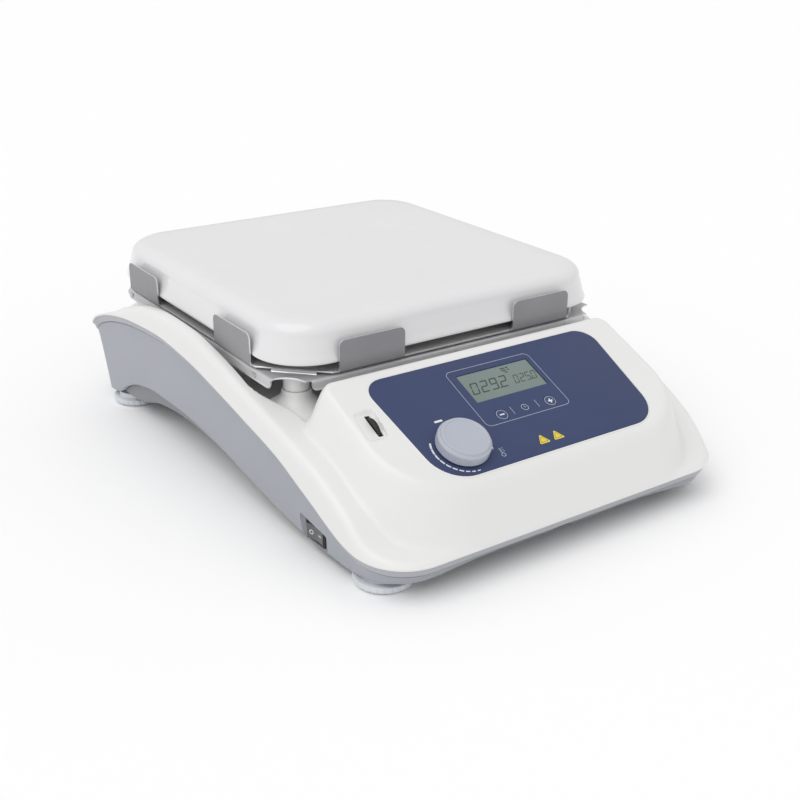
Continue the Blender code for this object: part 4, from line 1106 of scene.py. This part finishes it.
def panel_print():
    bm = bmesh.new()
    knob = (KNOB_X, KNOB_V)
    ink(bm, rectangle(2.8, 0.75, (KNOB_X - 1.5, KNOB_V + 22.1), 0.3, 3))
    dashes = 10
    angle = 152
    for k in range(dashes):
        size = 13 - 0.75 * k
        width = 1.15 - 0.05 * k
        ink(bm, arc_outline(KNOB_R + 2.3, angle, angle + size, width, knob))
        angle += size + 1.2 + 0.35 * k
    ink(bm, arc_outline(KNOB_R + 2.6, -24, -10, 0.5, knob))
    piece("panel_print_white", bm, [PRINT_WHITE], sharp=30)

    bm = bmesh.new()
    frame_half, frame_top, frame_low, line = 32.4, -8.3, -56, 0.32
    middle = (-1.1, (frame_top + frame_low) / 2)
    half_v = (frame_top - frame_low) / 2
    band(bm, rectangle(frame_half, half_v, middle, 4, 8),
         rectangle(frame_half - line, half_v - line, middle, 4 - line, 8), INK_LOW, INK_HIGH, PANEL)
    for x in (-10.2, 9):
        ink(bm, rectangle(0.16, 3, (x, -49)))
    clock = (-0.6, -49.2)
    ink_ring(bm, 2.3, 0.35, clock)
    ink(bm, rectangle(0.18, 0.8, (clock[0], clock[1] + 0.7)))
    ink(bm, rectangle(0.65, 0.18, (clock[0] + 0.5, clock[1])))
    bulb = (-37.6, -77.4)
    ink_ring(bm, 1.25, 0.4, bulb)
    ink(bm, rectangle(0.25, 2.2, (bulb[0], bulb[1] + 3.2), 0.2, 2))
    for k in range(3):
        ink(bm, rectangle(0.7, 0.15, (bulb[0] + 1.7, bulb[1] + 2.2 + 1.3 * k)))
    piece("panel_print_pale", bm, [PRINT_FAINT], sharp=30)

    yellow, black = bmesh.new(), bmesh.new()
    for x in (-6.8, 4.2):
        base, top, half = -78.4, -71.2, 4.2
        triangle = rounded([(x - half, base), (x + half, base), (x, top)], 0.7, 4)
        inner = rounded([(x - half * 0.72, base + 0.9), (x + half * 0.72, base + 0.9), (x, top - 1.7)],
                        0.5, 4)
        prism(yellow, triangle, INK_LOW, INK_HIGH, PANEL)
        band(black, inner, [(x + (a - x) * 0.86, base + 2.9 + (b - base - 2.9) * 0.86) for a, b in inner],
             INK_HIGH - 0.01, INK_HIGH + 0.02, PANEL)
    piece("panel_print_yellow", yellow, [PRINT_YELLOW], sharp=30)
    piece("panel_print_black", black, [PRINT_BLACK], sharp=30)


LCD_INK = (-0.02, 0.04)
SEGMENTS = {"0": "abcdef", "2": "abged", "5": "afgcd", "9": "abcdfg"}


def digit(bm, text, x, low, width, height, stroke):
    """One seven-segment figure, leaning to the right like an LCD's."""
    lean = 0.3
    gap, half = stroke * 0.22, stroke / 2
    levels = {"a": height - half, "g": height / 2, "d": half}
    uprights = {"f": (half, height / 2), "b": (width - half, height / 2),
                "e": (half, 0), "c": (width - half, 0)}

    def bar(length):
        return [(gap, 0), (gap + half, half), (length - gap - half, half), (length - gap, 0),
                (length - gap - half, -half), (gap + half, -half)]

    for name in SEGMENTS[text]:
        if name in levels:
            line = [(a, levels[name] + b) for a, b in bar(width)]
        else:
            u, start = uprights[name]
            line = [(u + b, start + a) for a, b in bar(height / 2)]
        ink(bm, [(x + px + lean * pv, low + pv) for px, pv in line], *LCD_INK)


def lcd_display():
    width, height = LCD_SIZE
    bm = bmesh.new()
    prism(bm, rectangle(width / 2 - 0.1, height / 2 - 0.1, (0, LCD_V), 0.6), -1, 0, PANEL, 0.1, 1)
    piece("lcd_pane", bm, [LCD], stands_for=("lcd_window",))
    bm = bmesh.new()
    low = LCD_V - 5.4
    for k, text in enumerate("0292"):
        digit(bm, text, -25.6 + 7.3 * k, low, 5.5, 9.4, 0.95)
    ink(bm, rectangle(0.5, 0.5, (-4.1, low + 0.4)), *LCD_INK)
    for k, text in enumerate("0250"):
        digit(bm, text, 7.3 + 4.6 * k, low + 0.4, 3.5, 6.9, 0.6)
    ink(bm, rectangle(0.35, 0.35, (20.7, low + 0.7)), *LCD_INK)
    for x, v, half_x, half_v in ((5.6, 9.2, 1.7, 0.5), (9, 9.2, 0.9, 0.5), (5.6, 7.4, 1.7, 0.5),
                                 (9.2, 7.4, 0.6, 0.5), (6.4, 5.7, 1, 0.45)):
        ink(bm, rectangle(half_x, half_v, (x + 1, LCD_V + v)), *LCD_INK)
    piece("lcd_figures", bm, [LCD_DARK], sharp=30)


def keys():
    for name, body, x in (("minus_key", "minus_button", -KEY_X), ("plus_key", "plus_button", KEY_X)):
        bm = bmesh.new()
        top = PANEL_FACE + 0.25
        profile = [(0, top), (KEY_R * 0.6, top - 0.03), (KEY_R - 0.5, top - 0.12), (KEY_R - 0.1, top - 0.4),
                   (KEY_R, top - 0.7), (KEY_R, -1.4), (KEY_R + 0.9, -1.5), (KEY_R + 0.9, -2.6), (0, -2.6)]
        lathe(bm, profile, 64, PANEL @ at(x, KEY_V, 0))
        piece(name + "_cap", bm, [KEY_BLUE], body, (name,))
        bm = bmesh.new()
        ink_low, ink_high = top - 0.14, top + 0.03
        band(bm, circle(KEY_R - 0.45, (x, KEY_V), 64), circle(KEY_R - 0.8, (x, KEY_V), 64),
             ink_low - 0.05, top - 0.06, PANEL)
        piece(name + "_ring", bm, [PRINT_FAINT], body, sharp=30)
        bm = bmesh.new()
        if name == "minus_key":
            ink(bm, rectangle(1.75, 0.42, (x, KEY_V), 0.2, 3), ink_low, ink_high)
        else:
            bar, half = 0.42, 1.75
            cross = [(-half, -bar), (-bar, -bar), (-bar, -half), (bar, -half), (bar, -bar), (half, -bar),
                     (half, bar), (bar, bar), (bar, half), (-bar, half), (-bar, bar), (-half, bar)]
            ink(bm, [(x + a, KEY_V + b) for a, b in cross], ink_low, ink_high)
        piece(name + "_sign", bm, [PRINT_WHITE], body, sharp=30)


def knob():
    """A ribbed skirt under a stepped rim, with a faintly dished face."""
    low, top = KNOB_LOW, KNOB_LOW + KNOB_HEIGHT
    ribs, steps = 66, 10
    insets = [(0.9, low), (0.9, low + 0.7), (0.15, low + 0.9), (0.15, top - 2.7), (1, top - 1.7),
              (1.7, top - 1.5), (1.9, top - 0.1), (3.4, top), (4, top - 0.35)]
    profile = rounded([(0, low)] + [(KNOB_R - inset, z) for inset, z in insets] + [(0, top - 0.2)],
                      [0, 0.2, 0.2, 0.3, 0.5, 0.5, 0.3, 0.5, 0.3, 0.3, 0], 4, False)

    def ribbed(angle, r, z):
        if r < KNOB_R - 0.6:
            return r
        inside = ease(low + 0.85, low + 1.5, z) * ease(top - 2.5, top - 3.1, z)
        return r - 0.2 * inside * max(sin(ribs * angle), -0.2)

    body = []
    for (r, z), (r2, z2) in zip(profile, profile[1:]):
        body.append((r, z))
        if abs(z2 - z) > 2:
            body += [(r + (r2 - r) * k / steps, z + (z2 - z) * k / steps) for k in range(1, steps)]
    body.append(profile[-1])
    bm = bmesh.new()
    lathe(bm, body, ribs * 8, PANEL @ at(KNOB_X, KNOB_V, 0), ribbed)
    piece("knob_cap", bm, [KNOB_GREY], "knob", ("control_knob",))


def limit_dial():
    """The knurled thumbwheel that shows through its slit."""
    teeth = 48
    turn = PANEL @ at(DIAL_X, DIAL_V, -DIAL_DEPTH) @ turned(pi / 2, "Y")

    def knurled(angle, r, z):
        if r < DIAL_R - 1:
            return r
        return r - 0.35 * (0.5 + 0.5 * sin(teeth * angle)) ** 2

    profile = [(1.9, -1.2), (DIAL_R - 0.5, -1.2), (DIAL_R - 0.1, -0.8), (DIAL_R, 0), (DIAL_R - 0.1, 0.8),
               (DIAL_R - 0.5, 1.2), (1.9, 1.2)]
    bm = bmesh.new()
    lathe(bm, profile, teeth * 6, turn, knurled, True)
    piece("limit_thumbwheel", bm, [BLACK], "limit_dial", ("safety_dial",))


# Rocker and inlet.

def rocker_face(y):
    return -5.6 + 1.3 * (1 - min(abs(y) / ROCKER_HALF, 1) ** 2)


def power_rocker():
    pivot = (ROCKER_SEAT @ at(ROCKER_PIVOT_DEPTH, 0, 0)
             @ turned(ROCKER_SWING, "Z"))

    def on_face(outline, lift):
        return [pivot @ Vector((rocker_face(a) + lift, a, b)) for a, b in outline]

    dish = [(rocker_face(y), y) for y in spread(ROCKER_HALF - 0.5, -ROCKER_HALF + 0.5, -0.7)]
    dish.append((rocker_face(-ROCKER_HALF + 0.5), -ROCKER_HALF + 0.5))
    rim = [(-5.2, -ROCKER_HALF + 0.1), (-1, -ROCKER_HALF), (2.4, -5.8), (2.8, 0), (2.4, 5.8),
           (-1, ROCKER_HALF), (-5.2, ROCKER_HALF - 0.1)]
    bm = bmesh.new()
    half = 4.75
    prism(bm, dish + rim, -half, half, pivot, 0.35, 3)
    piece("rocker_paddle", bm, [DARK_GREY], "rocker", ("power_rocker",))
    bm = bmesh.new()
    ring, hole = circle(1.5, (3.7, 0), 32), circle(1.05, (3.7, 0), 32)
    skin(bm, [on_face(ring, 0.05), on_face(ring, -0.06), on_face(hole, -0.06), on_face(hole, 0.05)], True)
    bar = rectangle(1.35, 0.27, (-3.9, 0), 0.2, 3)
    solid_of_rings(bm, [on_face(bar, 0.05), on_face(bar, -0.06)])
    piece("rocker_marks", bm, [PRINT_WHITE], "rocker", sharp=30)
    width, height = ROCKER_SIZE
    outer = rectangle(width / 2, height / 2, radius=1.4)
    well = rectangle(ROCKER_WELL[0] / 2, ROCKER_WELL[1] / 2, radius=1.4)
    stand = rocker_stand()
    levels = [(outer, 0, -15), (outer, 0, -1.5), (outer, 0.35, -1.12), (outer, 0.6, -1),
              (well, -0.4, -1), (well, -0.15, -1.12), (well, 0, -1.5), (well, 0, -8)]
    rings = []
    for outline, inset, h in levels:
        normals = outline_normals(outline)
        rings.append([stand @ Vector((x - nx * inset, y - ny * inset, h))
                      for (x, y), (nx, ny) in zip(outline, normals)])
    bm = bmesh.new()
    solid_of_rings(bm, rings)
    piece("rocker_bezel", bm, [BLACK], stands_for=("rocker_housing",))


def mains_inlet():
    """Appliance inlet with a shaped socket, three pins and a fuse drawer under it."""
    stand = inlet_frame()
    width, height = INLET_SIZE
    face = INLET_SEAT + INLET_FLANGE
    bm = bmesh.new()
    prism(bm, rectangle(width / 2, height / 2, radius=1.8), INLET_SEAT, face, stand, 0.5, 3)
    flange = piece("inlet_flange", bm, [BLACK], stands_for=("mains_inlet",))
    bm = bmesh.new()
    rear = rectangle(width / 2 - 1.9, height / 2 - 1.9, radius=0.8)
    prism(bm, rear, -20, INLET_SEAT + 0.4, stand, 0.2, 1)
    body = piece("inlet_body", bm, [BLACK])
    socket_half, top, low, chamfer = 11.4, 13.3, -0.5, 4
    socket = rounded([(-socket_half, low), (socket_half, low), (socket_half, top - chamfer),
                      (socket_half - chamfer, top), (chamfer - socket_half, top),
                      (-socket_half, top - chamfer)], 0.8, 4)
    drawer_hole = rectangle(10.9, 3.4, (0, -9.5), 0.5)
    for target in (flange, body):
        cut(target, stand, [(socket, -12, 8), (drawer_hole, -14.5, 8)])
    pins = (("live", -5, 7.9, 2), ("neutral", 5, 7.9, 2), ("earth", 0, 4.4, 4))
    for name, x, v, tall in pins:
        bm = bmesh.new()
        prism(bm, rectangle(1, tall / 2, (x, v), 0.35, 3), -12.2, -2.8, stand, 0.3, 2)
        piece("inlet_blade_" + name, bm, [BRIGHT], stands_for=("inlet_pin_" + name,))
    bm = bmesh.new()
    prism(bm, rectangle(10.55, 3.05, (0, -9.5), 0.6), -13.4, face + 0.5, stand, 0.3, 2)
    drawer = piece("fuse_drawer_front", bm, [DARK_GREY], "fuse_holder", ("fuse_drawer",))
    cut(drawer, stand, [(rectangle(3.2, 1.2, (0, -8.4), 0.8), face - 0.9, face + 3)])


# Kept CAD nodes.

KEPT = {
    "foot_screw_": BRIGHT, "plate_screw_": BRIGHT, "board_standoff_": BRIGHT, "motor_shaft": BRIGHT,
    "knob_shaft": BRIGHT, "temperature_sensor": BRIGHT, "stir_motor": BRIGHT, "motor_bracket": STEEL,
    "magnet_carrier": ALLOY, "drive_magnet_": MAGNET, "heating_element": ALLOY, "heat_sink": ALLOY,
    "insulation_pad": WOOL, "potentiometer": DARK_GREY, "lcd_module": DARK_GREY, "dial_holder": DARK_GREY,
    "minus_key_switch": BLACK, "plus_key_switch": BLACK, "display_board": BOARD, "power_board": BOARD,
    "transformer": COPPER, "relay": RELAY,
}


def dress_kept_nodes():
    for node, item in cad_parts.items():
        for start, finish in KEPT.items():
            if node.startswith(start):
                item.data.materials.clear()
                item.data.materials.append(finish)


# Stage.

def floor():
    reach = 30
    mesh = bpy.data.meshes.new("studio_floor")
    mesh.from_pydata([(-reach, -reach, 0), (reach, -reach, 0), (reach, reach, 0), (-reach, reach, 0)],
                     [], [(0, 1, 2, 3)])
    pale = bpy.data.materials.new("studio_floor")
    pale.use_nodes = True
    settings(pale.node_tree.nodes["Principled BSDF"],
             {"Base Color": (0.97, 0.97, 0.97, 1), "Roughness": 0.9, "Specular IOR Level": 0.1})
    mesh.materials.append(pale)
    link("studio_floor", mesh)


def soft_light(name, place, spread_degrees, power):
    """A broad far-off softbox, shining from a place towards the stirrer."""
    lamp = bpy.data.lights.new(name, "SUN")
    lamp.angle = radians(spread_degrees)
    lamp.energy = power
    link(name, lamp).rotation_euler = (-Vector(place)).to_track_quat("-Z", "Y").to_euler()


def studio():
    scene = bpy.context.scene
    scene.world = bpy.data.worlds.new("studio")
    scene.world.use_nodes = True
    settings(scene.world.node_tree.nodes["Background"], {"Color": (1, 1, 1, 1), "Strength": 0.76})
    scene.view_settings.view_transform = "Standard"
    soft_light("key", (-0.7, -0.15, 1.4), spread_degrees=60, power=0.95)


CAMERA_ANGLES = (35.08, 23.24, 0.64)
CAMERA_PLACE = (-0.42358, -0.6143, 0.34624)
CAMERA_LENS = 51.84


def camera():
    yaw, pitch, roll = (radians(angle) for angle in CAMERA_ANGLES)
    forward = Vector((sin(yaw) * cos(pitch), cos(yaw) * cos(pitch), -sin(pitch)))
    level = forward.cross(Vector((0, 0, 1))).normalized()
    upright = level.cross(forward)
    right = level * cos(roll) + upright * sin(roll)
    up = right.cross(forward)
    lens = bpy.data.cameras.new("camera")
    lens.sensor_width = 36
    lens.lens = CAMERA_LENS
    lens.clip_start = 0.01
    item = link("camera", lens)
    turn = Matrix((right, up, -forward)).transposed().to_4x4()
    item.matrix_world = at(*CAMERA_PLACE) @ turn
    bpy.context.scene.camera = item


top_cover()
pedestals()
base_shell()
bottom_pan()
feet()
top_plate()
clip_bracket()
support_tray()
spacers()
control_panel()
panel_print()
lcd_display()
keys()
knob()
limit_dial()
power_rocker()
mains_inlet()
dress_kept_nodes()
floor()
studio()
camera()
